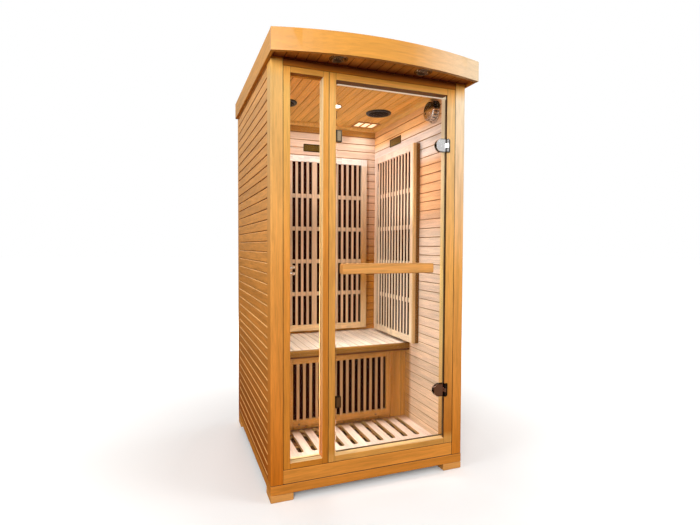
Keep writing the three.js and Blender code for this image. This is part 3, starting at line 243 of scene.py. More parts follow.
class Wood(Graph):
    """Planed softwood; `grain` is the axis of the fibres.

    boards: (axis, first joint, pitch) gives each board its own tone and figure.
    opening: (axis, left, right, low, high) turns the grain across in the rails between two stiles.
    """

    def __init__(self, name, grain, boards, opening, seed):
        super().__init__(name)
        self.boards = boards
        self.opening = opening
        place = self.stretch(self.place, grain_scale(grain))
        if opening:
            across, left, right, low, high = opening
            inside = self.between(self.axis[across], left, right)
            tall = self.between(self.axis[Z], low, high)
            self.within = self.times(inside, tall)
            self.beyond = self.math("SUBTRACT", 1.0, tall)
            turned = self.stretch(self.place, grain_scale(across))
            place = self.mix_vector(self.times(inside, self.beyond), place, turned)
        if boards:
            axis, first, pitch = boards
            self.run = self.math("DIVIDE", self.math("SUBTRACT", self.axis[axis], first), pitch)
            index = self.math("FLOOR", self.run)
            lot = self.math("ADD", index, seed + LOT_SEED)
            self.lot = self.add("ShaderNodeTexWhiteNoise", {"W": lot}, noise_dimensions="1D").outputs[0]
            along, aside = (self.times(index, step) for step in BOARD_SHIFT)
            place = self.shift(place, self.vector(along, aside, 0.0))
        place = self.shift(place, tuple(seed * step for step in SEED_SHIFT))
        self.figure = self.noise(place, 3.2, 4.0, 0.58, 0.7)
        self.fibre = self.noise(place, 13.0, 4.0, 0.6, 0.25)
        self.pores = self.noise(place, 46.0, 2.0, 0.6)

    def paint(self, tone, fades=(), under=None, infill=None, walls=None, reveal=None, arris=None):
        """The colour before grain and joints.

        tone: one colour, or three from the bottom of the cabin to its top.
        fades: (axis, start, end, tone, highest) that the colour runs out to, up to the height `highest`;
            one tone or three.
        under: (height, tone) of what lies lower, used for painted shade in recesses.
        infill: one tone or three of what stands in the opening.
        walls: (axis, tone) for the faces that don't look along `axis`, inside the opening if there is one.
        reveal: (y, shadow, tone, ledge, head) for the opening's inner faces, as in reveal_tone.
        arris: one tone or three of the upper edge of each board, a painted highlight.
        """
        colour = by_height(self, tone)
        for along, start, end, tint, highest in fades:
            share = self.span(self.axis[along], start, end)
            share = self.times(share, self.less(self.axis[Z], highest))
            colour = self.mix(share, colour, by_height(self, tint))
        if under:
            height, tint = under
            colour = self.mix(self.less(self.axis[Z], height), colour, rgb(tint))
        if infill:
            colour = self.mix(self.within, colour, by_height(self, infill))
        if walls:
            look, tint = walls
            share = self.less(self.math("ABSOLUTE", self.facing[look]), ALONG)
            if self.opening:
                share = self.times(share, self.within)
            colour = self.mix(share, colour, rgb(tint))
        if reveal:
            colour = self.mix(self.lip(), colour, self.reveal_tone(*reveal))
        # Painted highlight on the upward-facing edges of boards
        if arris:
            colour = self.mix(self.span(self.facing[Z], *ARRIS_EDGE), colour, by_height(self, arris))
        return colour

    def lip(self):
        """One on the inner faces of the opening."""
        across, left, right, low, high = self.opening
        lip = self.between(self.axis[across], left - REVEAL, right + REVEAL)
        lip = self.times(lip, self.between(self.axis[Z], low - REVEAL, high + REVEAL))
        return self.times(lip, self.more(self.facing[Y], NOT_FRONT))

    def reveal_tone(self, gap, shadow, tint, ledge, head):
        """`shadow`, a painted shadow, in front of the gap and `tint` behind it; `ledge`, painted light, at
        the foot and `head`, painted shade, at the top.
        """
        inner = self.mix(self.less(self.axis[Y], gap), by_height(self, tint), rgb(shadow))
        inner = self.mix(self.less(self.facing[Z], -ALONG), inner, rgb(head))
        return self.mix(self.more(self.facing[Z], ALONG), inner, rgb(ledge))

    def joint_light(self, grooves, reach):
        """Light at the joints between boards, `reach` to either side of them."""
        _, _, pitch = self.boards
        run = self.math("FRACT", self.run)
        gap = self.times(self.math("MINIMUM", run, self.math("SUBTRACT", 1.0, run)), pitch)
        return self.span(gap, reach / 3, reach, self.span(self.axis[Z], *grooves), 1.0)

    def shade(self, colour, contrast, grooves, reach, seams):
        """Grain, joints and seams on a colour."""
        blend = self.math("ADD", self.times(self.figure, FIGURE_SHARE), self.times(self.fibre, FIBRE_SHARE))
        level = self.span(blend, *GRAIN_RANGE, 1.0 - contrast, 1.0 + contrast * GRAIN_RISE)
        if self.boards:
            lot = self.span(self.lot, 0.0, 1.0, 1.0 - BOARD_VARIETY, 1.0 + BOARD_VARIETY * BOARD_RISE)
            level = self.times(level, lot)
        if grooves:
            light = self.joint_light(grooves, reach)
            level = self.times(level, light)
            colour = self.mix(light, self.tinted(colour, rgb(JOINT_WARMTH)), colour)
        # Lying boards: painted shade on the downward-facing sides of their joints and a painted highlight on
        # the upward-facing ones
        if grooves and self.boards[0] == Z:
            below = self.span(self.facing[Z], *LOWER_EDGE, 1.0, 0.0)
            level = self.times(level, self.span(below, 0.0, 1.0, 1.0, LOWER_EDGE_LIGHT))
            colour = self.mix(below, colour, self.tinted(colour, rgb(JOINT_WARMTH)))
            level = self.times(level, self.span(self.facing[Z], *UPPER_EDGE, 1.0, UPPER_EDGE_LIGHT))
        if self.opening:
            across, *sides, _, _ = self.opening
            seam = self.math("MAXIMUM", *(self.near(self.axis[across], at, RAIL_SEAM) for at in sides))
            joint = self.times(seam, self.beyond)
            level = self.times(level, self.span(joint, 0.0, 1.0, 1.0, RAIL_SEAM_LIGHT))
        for along, at in seams:
            seam = self.near(self.axis[along], at, SEAM)
            level = self.times(level, self.span(seam, 0.0, 1.0, 1.0, SEAM_LIGHT))
        colour = self.dimmed(colour, level)
        streak = self.span(self.fibre, *STREAK_RANGE, 0.0, STREAK_SHARE)
        return self.mix(streak, colour, self.tinted(colour, rgb(STREAK_WARMTH)))


def wood(name, tone, grain, seed, boards=None, opening=None, grooves=None, reach=JOINT_REACH, seams=(),
         contrast=0.30, rough=0.46, gloss=0.2, **tones):
    """Planed softwood; Wood explains `boards` and `opening`, and its paint the other tones.

    grooves: (low, high, a, b), the light that the joints between boards keep below `low` and above `high`.
    reach: how far the shade of a joint goes to either side.
    seams: (axis, place) of the joints with neighbouring pieces.
    """
    g = Wood(name, grain, boards, opening, seed)
    colour = g.shade(g.paint(tone, **tones), contrast, grooves, reach, seams)
    relief = g.math("ADD", g.times(g.fibre, 0.7), g.times(g.pores, 0.3))
    return g.finish(g.principled({
        "Base Color": colour,
        "Roughness": g.uneven(g.pores, rough - 0.07, rough + 0.09),
        "Specular IOR Level": gloss,
        "Normal": g.bump(relief, 0.22, 0.0006),
    }))


# Other materials

WORN = 0.86
RIM_LIGHT = 0.1
CROWN_LIGHT = 0.1
PANE_TINT = (0.985, 0.996, 0.99)
# The head's ground edge: pale ground glass with a painted highlight
PANE_HEAD = (0.84, 0.72, 0.54)
PANE_EDGE = 0.0006
PANE_FOOT = 0.003
DOOR_PANE_TOP = 0.0038
PANE_SHADE = 0.52
MESH_TONES = ((0.003, 0.002, 0.0015), (0.016, 0.009, 0.006))
EMITTER_TONES = ((0.016, 0.0022, 0.0008), (0.030, 0.0045, 0.0016))


def metal(name, colour, low, high, scale=(40.0, 40.0, 40.0), relief=0.04, rim=None, crown=None):
    """Metal with faint wear, rough from `low` to `high`.

    rim: (node, width) of a darker edge, a painted reflection.
    crown: (from, to), the heights over which the metal darkens, a painted reflection.
    """
    g = Graph(name)
    wear = g.noise(g.stretch(g.place, scale), 6.0, 3.0)
    speck = g.noise(g.place, 900.0, 2.0)
    tint = g.mottled(wear, colour, scaled(colour, WORN))
    if rim:
        node, width = rim
        starts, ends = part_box(node)
        level = 1.0
        for axis in (X, Z):
            start, end = starts[axis], ends[axis]
            level = g.times(level, g.span(g.axis[axis], start, start + width, RIM_LIGHT, 1.0))
            level = g.times(level, g.span(g.axis[axis], end - width, end, 1.0, RIM_LIGHT))
        tint = g.dimmed(tint, level)
    if crown:
        tint = g.mix(g.span(g.axis[Z], *crown), tint, rgb(scaled(colour, CROWN_LIGHT)))
    return g.finish(g.principled({
        "Base Color": tint,
        "Metallic": 1.0,
        "Roughness": g.uneven(wear, low, high),
        "Normal": g.bump(speck, relief, 0.0002),
    }))


def plastic(name, colour, low, high, grain=1400.0, relief=0.15):
    """Pebbled plastic, rough from `low` to `high`."""
    g = Graph(name)
    cloud = g.noise(g.place, 30.0, 3.0)
    pebble = g.noise(g.place, grain, 2.0)
    return g.finish(g.principled({
        "Base Color": g.mottled(cloud, colour, scaled(colour, 0.75, 0.002)),
        "Roughness": g.uneven(pebble, low, high),
        "Normal": g.bump(pebble, relief, 0.0003),
    }))


def mesh_grille(name):
    """Black speaker cloth in a woven metal mesh."""
    g = Graph(name)
    weave = g.add("ShaderNodeTexVoronoi", {"Vector": g.place, "Scale": 320.0, "Randomness": 0.0})
    holes = g.span(weave.outputs["Distance"], 0.25, 0.45)
    cloth, wire = MESH_TONES
    return g.finish(g.principled({
        "Base Color": g.mix(holes, rgb(cloth), rgb(wire)),
        "Roughness": g.span(holes, 0.0, 1.0, 0.8, 0.5),
        "Specular IOR Level": 0.08,
        "Normal": g.bump(holes, 0.6, 0.0008),
    }))


def lit(name, colour, glow, strength, rough=0.35):
    """A lamp face: ribbed diffuser that shines by itself."""
    g = Graph(name)
    ribs = g.noise(g.stretch(g.place, (220.0, 30.0, 30.0)), 2.0, 2.0)
    return g.finish(g.principled({
        "Base Color": g.mottled(ribs, colour, scaled(colour, 0.9)),
        "Roughness": g.uneven(ribs, rough - 0.08, rough + 0.08),
        "Emission Color": rgb(glow),
        "Emission Strength": strength,
        "Normal": g.bump(ribs, 0.2, 0.0005),
    }))


def glass(name, node, rim, top=PANE_EDGE):
    """Clear pane that lamps shine through.

    rim: one tone or three of its ground edges, painted light and shade.
    top: height of the paler edge at the head, pale ground glass with a painted highlight.
    """
    g = Graph(name)
    smear = g.noise(g.stretch(g.place, (3.0, 3.0, 1.2)), 2.0, 3.0)
    clear = g.principled({
        "Base Color": rgb(PANE_TINT),
        "Transmission Weight": 1.0,
        "Roughness": g.span(smear, 0.3, 0.8, 0.0, 0.012),
        "IOR": 1.12,
    })
    low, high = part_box(node)
    face = g.less(g.axis[X], high[X] - PANE_EDGE)
    face = g.times(face, g.between(g.axis[Z], low[Z] + PANE_FOOT, high[Z] - top))
    edge = by_height(g, rim)
    edge = g.mix(smear, g.tinted(edge, rgb((0.6, 0.6, 0.6))), edge)
    head = g.more(g.axis[Z], high[Z] - top)
    ground = g.principled({"Base Color": g.mix(head, edge, rgb(PANE_HEAD)), "Roughness": 0.45})
    pane = g.mix_shader(face, ground, clear)
    lamps = g.add("ShaderNodeBsdfTransparent", {0: rgb((PANE_SHADE, PANE_SHADE, PANE_SHADE))})
    path = g.add("ShaderNodeLightPath").outputs
    light = g.math("MAXIMUM", path["Is Shadow Ray"], path["Is Diffuse Ray"])
    return g.finish(g.mix_shader(light, pane, lamps))


def emitter_panel(name):
    """Matt heater plate with a fine weave."""
    g = Graph(name)
    weave = g.noise(g.stretch(g.place, (60.0, 60.0, 260.0)), 3.0, 2.0)
    return g.finish(g.principled({
        "Base Color": g.mottled(weave, *EMITTER_TONES),
        "Roughness": g.uneven(weave, 0.75, 0.9),
        "Specular IOR Level": 0.01,
        "Normal": g.bump(weave, 0.1, 0.0003),
    }))


# Tones, in linear light; three run from the bottom of the cabin to its top, and the change between them is
# largely painted light and shade
FRAME = ((0.60, 0.21, 0.022), (0.75, 0.29, 0.045), (0.82, 0.48, 0.125))
FRAME_HEAD_SHADE = (0.84, 0.38, 0.063)
FRAME_STILE = ((0.54, 0.18, 0.016), (0.67, 0.24, 0.032), (0.83, 0.41, 0.088))
DOOR_FRAME = ((0.50, 0.145, 0.010), (0.90, 0.43, 0.10), (0.85, 0.56, 0.25))
DOOR_JAMB = ((0.58, 0.23, 0.032), (0.74, 0.35, 0.079), (0.89, 0.49, 0.14))
DOOR_RAIL = (0.69, 0.32, 0.070)
SILL_TONE = (0.75, 0.285, 0.045)
SILL_END = (0.86, 0.33, 0.054)
LEFT_POST = ((0.61, 0.17, 0.011), (0.78, 0.33, 0.064), (0.82, 0.49, 0.165))
# The right post is painted paler than the left, with a painted highlight at its top
RIGHT_POST = ((0.67, 0.215, 0.021), (0.86, 0.40, 0.095), (0.95, 0.76, 0.52))
POST_HEAD = (0.98, 0.52, 0.11)
# The cladding is painted shade towards the bottom of the walls
CLADDING = ((0.46, 0.110, 0.006), (0.86, 0.36, 0.070), (0.88, 0.42, 0.105))
ARRIS_HIGHLIGHT = ((0.86, 0.46, 0.14), (0.93, 0.48, 0.14), (0.92, 0.46, 0.13))
# The header under the crown is painted shade, darker still at its top
HEADER_TONE = (0.58, 0.19, 0.014)
HEADER_SHADE = (0.34, 0.10, 0.022)
CROWN_TONE = (0.80, 0.37, 0.064)
CROWN_FRONT = (0.75, 0.33, 0.044)
CROWN_END_HIGHLIGHT = (0.82, 0.60, 0.34)
FOOT_TONE = (0.80, 0.36, 0.094)
# Reveals: painted light, paler towards the top, with painted light on the ledges, painted shade under the
# heads and a painted shadow in the door's gap
WINDOW_REVEAL = ((0.64, 0.17, 0.03), (0.98, 0.60, 0.23), (1.0, 0.80, 0.46))
WINDOW_LEDGE_LIGHT = (0.92, 0.64, 0.31)
WINDOW_HEAD_SHADE = (0.46, 0.13, 0.003)
# The window pane's edges are painted light, paler towards the top
WINDOW_EDGE = ((0.66, 0.36, 0.13), (0.95, 0.68, 0.36), (1.0, 0.88, 0.62))
DOOR_REVEAL = ((0.46, 0.20, 0.045), (0.96, 0.68, 0.26), (0.96, 0.84, 0.60))
DOOR_LEDGE_LIGHT = (0.70, 0.44, 0.19)
DOOR_HEAD_SHADE = (0.15, 0.05, 0.004)
# The door pane's edges: dark, partly the green of the glass edge and partly painted shade of the gap beside
# them
DOOR_EDGE = (0.17, 0.105, 0.045)
GAP_SHADOW = (0.06, 0.022, 0.006)
OUTER_HANDLE_TONE = (0.80, 0.37, 0.10)
INNER_HANDLE_TONE = (0.80, 0.40, 0.13)
LINING_TONE = ((0.86, 0.62, 0.40), (0.85, 0.65, 0.50), (0.85, 0.65, 0.50))
LINING_DIM = (0.79, 0.42, 0.21)
LINING_LIT = (0.83, 0.71, 0.64)
LINING_HEAD_SHADE = (0.88, 0.50, 0.21)
# The rear lining is the side linings' wood painted in shade, darkest in the middle
REAR_LINING = ((0.76, 0.37, 0.09), (0.56, 0.20, 0.018), (0.84, 0.64, 0.50))
REAR_HEAD_SHADE = (0.50, 0.24, 0.05)
CORNER_SHADE = (0.56, 0.28, 0.085)
CEILING_TONE = (0.78, 0.38, 0.076)
CEILING_REAR = (0.86, 0.49, 0.125)
LIGHT_FRAME_TONE = (0.50, 0.22, 0.06)
CORNICE_TONE = (0.77, 0.44, 0.12)
SOFFIT_SHADE = (0.16, 0.025, 0.018)
SOFFIT_EDGE = (0.86, 0.36, 0.050)
ROOF_TONE = (0.60, 0.44, 0.26)
# Bench: one wood, the top painted light, the front and nosing painted shade
BENCH_TONE = (0.94, 0.80, 0.66)
BENCH_FRONT_TONE = (0.68, 0.33, 0.072)
NOSING_TONE = (0.26, 0.112, 0.017)
NOSING_FOOT_SHADOW = (0.10, 0.03, 0.005)
# Duckboard: painted shade at its rear end under the bench, on the slats' sides and in the slots
DUCKBOARD_TONE = (0.80, 0.58, 0.445)
DUCKBOARD_REAR_SHADE = (0.36, 0.17, 0.066)
DUCKBOARD_SIDE_SHADE = (0.62, 0.35, 0.12)
DUCKBOARD_SLOT_SHADE = (0.20, 0.08, 0.026)
FLOOR_TONE = (0.50, 0.22, 0.075)
FLOOR_EDGE = (0.70, 0.25, 0.034)
# Painted shade on the walls of the slots between heater slats
HEATER_SLOT_SHADE = (0.12, 0.045, 0.014)
# Heater covers: one wood in lit and shaded copies, the side covers painted light, the rear and calf covers
# painted shade
REAR_COVER = ((0.60, 0.28, 0.072), (0.62, 0.28, 0.066), (0.86, 0.69, 0.54))
REAR_FOOT = (0.92, 0.62, 0.32)
COVER_HEAD_LIGHT = (0.93, 0.84, 0.76)
REAR_SLAT = ((0.74, 0.46, 0.27), (0.72, 0.46, 0.27), (0.50, 0.34, 0.25))
SIDE_COVER = ((0.94, 0.82, 0.60), (0.84, 0.61, 0.39), (0.86, 0.63, 0.53))
SIDE_EDGE_SHADE = (0.70, 0.44, 0.19)
SIDE_SHADE = (0.20, 0.08, 0.014)
SIDE_SLAT = ((0.92, 0.76, 0.56), (0.91, 0.72, 0.52), (0.68, 0.38, 0.24))
CALF_COVER = (0.54, 0.24, 0.055)
CALF_SLAT = (0.46, 0.25, 0.11)
# The lower clamp's browner metal is a painted reflection of the wood and floor below it
CLAMP_TONES = {"upper": (0.93, 0.93, 0.94), "lower": (0.78, 0.56, 0.50)}
BRACKET_TONE = (0.15, 0.145, 0.14)
STRIKE_TONE = (0.60, 0.46, 0.30)

chrome = metal("chrome", (0.80, 0.80, 0.81), 0.06, 0.13)
# The ioniser's head is painted dark, a painted reflection of the ceiling above it
ioniser_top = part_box("ioniser")[HIGH][Z]
ioniser_crown = (ioniser_top - 0.058, ioniser_top - 0.044)
ioniser_chrome = metal("ioniser_chrome", (0.66, 0.60, 0.54), 0.10, 0.20, crown=ioniser_crown)
dim_chrome = metal("shaded_chrome", (0.24, 0.17, 0.12), 0.10, 0.18)
hook_nickel = metal("hook_nickel", (0.68, 0.55, 0.43), 0.12, 0.22)
steel = metal("satin_steel", (0.55, 0.56, 0.58), 0.25, 0.4, (40.0, 40.0, 400.0), 0.1)
brass = metal("brass", (0.26, 0.205, 0.050), 0.26, 0.40, (40.0, 40.0, 300.0), 0.08)
dark_brass = metal("dark_brass", (0.085, 0.066, 0.022), 0.30, 0.45)
dark_screw = metal("bronze_screw", (0.20, 0.13, 0.07), 0.3, 0.45)
black_plastic = plastic("black_plastic", (0.020, 0.018, 0.017), 0.42, 0.6)
grille_mesh = mesh_grille("speaker_mesh")
emitter = emitter_panel("emitter_black")
diffuser = lit("light_diffuser", (0.90, 0.82, 0.62), (1.0, 0.86, 0.55), 0.8)
spot_lens = lit("spot_lens", (0.95, 0.93, 0.88), (1.0, 0.93, 0.80), 4.0)
dim_lens = lit("downlight_lens", (0.10, 0.065, 0.045), (1.0, 0.8, 0.55), 0.01, 0.25)
display_glass = plastic("display_glass", (0.010, 0.016, 0.020), 0.06, 0.12, 300.0, 0.02)


# CAD nodes: edges and finishes

WELD_REACH = 0.00002
BEVEL_ANGLE = 35
HANDLE_BEVEL = 0.005
FRAME_BEVEL = 0.0022
CROWN_BEVEL = 0.002
SLAT_BEVEL = 0.0015
FINE_BEVEL = 0.0012
BOX_BEVEL = 0.001
FITTING_BEVEL = 0.0008
PLATE_BEVEL = 0.0006
INLET_BEVEL = 0.0005
# Widths of the painted reflections along the edges of clamps, brackets and strikes
CLAMP_RIM, BRACKET_RIM, STRIKE_RIM = 0.004, 0.005, 0.007


def dress(node, material, bevel=0.0, segments=2):
    """Give a CAD node its material and, with a `bevel`, soft edges."""
    thing = nodes[node]
    thing.data.materials.clear()
    thing.data.materials.append(material)
    if bevel:
        weld = thing.modifiers.new("weld", "WELD")
        weld.merge_threshold = WELD_REACH
        edge = thing.modifiers.new("edges", "BEVEL")
        edge.width = bevel
        edge.segments = segments
        edge.limit_method = "ANGLE"
        edge.angle_limit = math.radians(BEVEL_ANGLE)
        edge.harden_normals = True


def honey(node, grain, seed, tone, bevel=FRAME_BEVEL, **more):
    """Wood of the frame and the outside."""
    dress(node, wood(f"honey_{node}", tone, grain, seed, **more), bevel)


def pale(node, grain, seed, tone, bevel=0.0, **more):
    """Wood of the inside and the roof, a little more matt."""
    dress(node, wood(f"pale_{node}", tone, grain, seed, rough=0.5, **more), bevel)


def joints(node, axis, pitch):
    """The boards of a V-grooved node as (axis, first joint, pitch)."""
    low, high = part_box(node)
    run = high[axis] - low[axis]
    count = math.floor((run - 2 * EDGE_BOARD) / pitch)
    return axis, low[axis] + (run - count * pitch) / 2, pitch


def edges(node, *sides):
    """The places of a node's box sides, given as (axis, end), where it meets its neighbours."""
    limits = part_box(node)
    return [(axis, limits[end][axis]) for axis, end in sides]


ANY_HEIGHT = 2.0


def fade(axis, start, end, tone, highest=ANY_HEIGHT):
    """One row of the fades that Wood's paint takes."""
    return axis, start, end, tone, highest


# Light in the joints, as (low, high, light below, light above)
JOINT = (0.3, 1.7, 0.42, 0.42)
LINING_JOINT = (0.3, 1.7, 0.40, 0.70)
CLADDING_JOINT = (0.90, 1.15, 1.0, 0.46)

# Where one tone runs out to another; most of these fades are painted light and shade
BENCH_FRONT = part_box("bench_front_panel")[LOW][Y]
NOSING_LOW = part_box("bench_nosing")[LOW][Z]
DUCKBOARD_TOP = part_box("duckboard")[HIGH][Z]
REAR_COVER_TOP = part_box("rear_heater_cover")[HIGH][Z]
SIDE_COVER_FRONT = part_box("right_heater_cover")[LOW][Y]
SIDE_COVER_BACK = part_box("right_heater_cover")[HIGH][X]
BENCH_SHADE_TOP = 0.55
SLOT_DEPTH = 0.004
# Painted light and shade on the side linings: the bench's shadow below its top, a dim band, a lit band and
# shade at the head under the cornice
LINING_FADES = (
    fade(Y, BENCH_FRONT - 0.075, BENCH_FRONT - 0.045, CORNER_SHADE, BENCH_SHADE_TOP),
    fade(Z, 1.12, 1.26, LINING_DIM),
    fade(Z, 1.49, 1.55, LINING_LIT),
    fade(Z, 1.66, 1.71, LINING_HEAD_SHADE),
)
CEILING_FADES = (
    fade(Y, 0.05, 0.45, CEILING_REAR),
    # The soffit outside the front wall is painted shade, paler towards its front edge
    fade(Y, -0.409, -0.410, SOFFIT_SHADE),
    fade(Y, -0.415, -0.49, SOFFIT_EDGE),
)
REAR_COVER_FADES = (
    fade(Z, 0.86, 0.62, REAR_FOOT),
    # Painted light on the head of the rear cover
    fade(Z, REAR_COVER_TOP - 0.046, REAR_COVER_TOP - 0.036, COVER_HEAD_LIGHT),
)
# Painted shade on the right cover's front edge and along its side next to the wall
RIGHT_COVER_FADES = (
    fade(Y, SIDE_COVER_FRONT + 0.016, SIDE_COVER_FRONT + 0.010, SIDE_EDGE_SHADE),
    fade(X, SIDE_COVER_BACK - 0.024, SIDE_COVER_BACK - 0.018, SIDE_SHADE),
)
# Painted shade on the heads of the window and door frames under the crown
FRAME_HEAD_FADE = fade(Z, 1.70, 1.78, FRAME_HEAD_SHADE)
WINDOW_FADES = (fade(X, -0.26, -0.235, FRAME_STILE), FRAME_HEAD_FADE)
DOOR_FADES = (fade(X, 0.1, -0.2, DOOR_JAMB), fade(Z, 0.19, 0.16, DOOR_RAIL), FRAME_HEAD_FADE)
# Painted light and shade: the post heads under the crown are a deeper orange
POST_FADES = (fade(Z, 1.74, 1.80, POST_HEAD),)
# Painted shade at the head of the rear lining, under the cornice
REAR_LINING_FADES = (fade(Z, 1.752, 1.768, REAR_HEAD_SHADE),)
HEADER_FADES = (fade(Z, 1.798, 1.818, HEADER_SHADE),)
SILL_FADES = (fade(X, 0.05, 0.40, SILL_END),)
# Painted highlight towards the right end of the crown's front
CROWN_FADES = (fade(X, 0.10, 0.47, CROWN_END_HIGHLIGHT),)
# Painted shadow line along the foot of the nosing
NOSING_FADES = (fade(Z, NOSING_LOW + 0.011, NOSING_LOW + 0.007, NOSING_FOOT_SHADOW),)
DUCKBOARD_FADES = (fade(Y, -0.012, 0.052, DUCKBOARD_REAR_SHADE),)


def cladding(node, grain, seed):
    """Outer boards with a painted highlight on their upper edges."""
    honey(node, grain, seed, CLADDING, bevel=0.0, boards=joints(node, Z, BOARD), grooves=CLADDING_JOINT,
          arris=ARRIS_HIGHLIGHT, contrast=0.36)


def side_wall(side, inner, post_tone, number):
    """Cladding, lining, post and fascia of one side; `inner` is the end of the post that meets the front."""
    cladding(f"{side}_wall_panel", Y, 7.0 + number)
    lining = f"{side}_wall_lining"
    pale(lining, Y, 9.0 + number, LINING_TONE, boards=joints(lining, Z, LINING_BOARD), grooves=LINING_JOINT,
         fades=LINING_FADES)
    post = f"front_{side}_post"
    honey(post, Z, 11.0 + number, post_tone, seams=edges(post, (X, inner), (Z, LOW)), fades=POST_FADES)
    honey(f"crown_{side}_fascia", Y, 13.0 + number, CROWN_TONE)


def heater(side, axis, look, stile, rail, tone, infill, fades, seed):
    """A slatted cover, `stile` and `rail` wide round its opening, and the emitter behind it."""
    cover = f"{side}_heater_cover"
    low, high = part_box(cover)
    opening = (axis, low[axis] + stile, high[axis] - stile, low[Z] + rail, high[Z] - rail)
    # The walls of the slots get painted shade
    pale(cover, Z, seed, tone, bevel=FINE_BEVEL, boards=(axis, low[axis], HEATER_BOARD), opening=opening,
         infill=infill, fades=fades, walls=(look, HEATER_SLOT_SHADE))
    dress(f"{side}_heater_emitter", emitter)


def hinge_end(end, clamp_tone):
    """The metal at one end of the door, upper or lower."""
    clamp, bracket, strike = f"{end}_hinge_clamp", f"{end}_hinge_bracket", f"{end}_strike"
    clamp_metal = metal(f"{end}_clamp_chrome", clamp_tone, 0.06, 0.13, rim=(clamp, CLAMP_RIM))
    bracket_metal = metal(f"{end}_bracket_chrome", BRACKET_TONE, 0.08, 0.16, rim=(bracket, BRACKET_RIM))
    strike_metal = metal(f"{end}_strike_nickel", STRIKE_TONE, 0.12, 0.22, rim=(strike, STRIKE_RIM))
    dress(clamp, clamp_metal, FINE_BEVEL, segments=3)
    dress(bracket, bracket_metal, FITTING_BEVEL)
    dress(strike, strike_metal, PLATE_BEVEL)
    dress(f"{end}_magnet", steel, PLATE_BEVEL)


honey("floor_panel", X, 1.0, FLOOR_TONE, walls=(Z, FLOOR_EDGE), seams=edges("floor_panel", (Z, HIGH)))
for number, foot in enumerate(("front_left", "front_right", "rear_left", "rear_right")):
    honey(f"foot_{foot}", X, 2.0 + number, FOOT_TONE)
side_wall("left", HIGH, LEFT_POST, 0)
side_wall("right", LOW, RIGHT_POST, 1)
cladding("rear_wall_panel", X, 15.0)
pale("rear_wall_lining", X, 16.0, REAR_LINING, boards=joints("rear_wall_lining", Z, LINING_BOARD),
     grooves=JOINT, fades=REAR_LINING_FADES)
honey("front_header", X, 17.0, HEADER_TONE, fades=HEADER_FADES)
honey("front_sill", X, 18.0, SILL_TONE, seams=edges("front_sill", (Z, LOW), (Z, HIGH)), fades=SILL_FADES)
ALL_ROUND = ((X, LOW), (X, HIGH), (Z, LOW), (Z, HIGH))
honey("window_frame", Z, 19.0, FRAME, opening=WINDOW_OPENING, seams=edges("window_frame", *ALL_ROUND),
      reveal=(NO_GAP, GAP_SHADOW, WINDOW_REVEAL, WINDOW_LEDGE_LIGHT, WINDOW_HEAD_SHADE), fades=WINDOW_FADES)
honey("door_frame", Z, 20.0, DOOR_FRAME, opening=DOOR_OPENING, seams=edges("door_frame", *ALL_ROUND),
      reveal=(DOOR_GAP, GAP_SHADOW, DOOR_REVEAL, DOOR_LEDGE_LIGHT, DOOR_HEAD_SHADE), fades=DOOR_FADES)
honey("crown_front_fascia", X, 21.0, CROWN_FRONT, bevel=CROWN_BEVEL, gloss=0.5, rough=0.38, contrast=0.2,
      fades=CROWN_FADES)
honey("crown_rear_fascia", X, 22.0, CROWN_TONE)
honey("outer_handle", X, 23.0, OUTER_HANDLE_TONE, bevel=HANDLE_BEVEL)
honey("inner_handle", X, 24.0, INNER_HANDLE_TONE, bevel=HANDLE_BEVEL)
honey("ceiling_light_frame", X, 25.0, LIGHT_FRAME_TONE, bevel=FITTING_BEVEL)
pale("roof_panel", Y, 26.0, ROOF_TONE)
pale("ceiling_panel", Y, 27.0, CEILING_TONE, boards=joints("ceiling_panel", X, BOARD), grooves=JOINT,
     fades=CEILING_FADES)
pale("bench_top", Y, 28.0, BENCH_TONE, boards=joints("bench_top", X, BOARD), grooves=JOINT,
     reach=BENCH_JOINT_REACH)
pale("bench_nosing", X, 29.0, NOSING_TONE, bevel=SLAT_BEVEL, fades=NOSING_FADES)
pale("bench_front_panel", Z, 30.0, BENCH_FRONT_TONE,
     boards=joints("bench_front_panel", X, BENCH_FRONT_BOARD), grooves=JOINT)
pale("cornice", Y, 31.0, CORNICE_TONE)
# Painted shade on the slats' sides, in the slots and at the rear end
pale("duckboard", Y, 33.0, DUCKBOARD_TONE, bevel=SLAT_BEVEL, boards=(X, 0.0, DUCKBOARD_BOARD),
     walls=(Z, DUCKBOARD_SIDE_SHADE), fades=DUCKBOARD_FADES, under=(DUCKBOARD_TOP - SLOT_DEPTH, DUCKBOARD_SLOT_SHADE))

heater("rear", X, Y, REAR_STILE, HEATER_RAIL, REAR_COVER, REAR_SLAT, REAR_COVER_FADES, 34.0)
heater("right", Y, X, SIDE_STILE, HEATER_RAIL, SIDE_COVER, SIDE_SLAT, RIGHT_COVER_FADES, 35.0)
heater("left", Y, X, SIDE_STILE, HEATER_RAIL, SIDE_COVER, SIDE_SLAT, (), 36.0)
heater("calf", X, Y, CALF_STILE, CALF_RAIL, CALF_COVER, CALF_SLAT, (), 37.0)

dress("window_glass", glass("window_pane", "window_glass", WINDOW_EDGE))
dress("door_glass", glass("door_pane", "door_glass", DOOR_EDGE, DOOR_PANE_TOP))
for end, clamp_tone in CLAMP_TONES.items():
    hinge_end(end, clamp_tone)
dress("ceiling_light_diffuser", diffuser)
dress("control_panel", black_plastic, PLATE_BEVEL)
dress("power_inlet", black_plastic, INLET_BEVEL)
dress("power_box", steel, BOX_BEVEL)


# Pieces: turned fittings, plates and screws

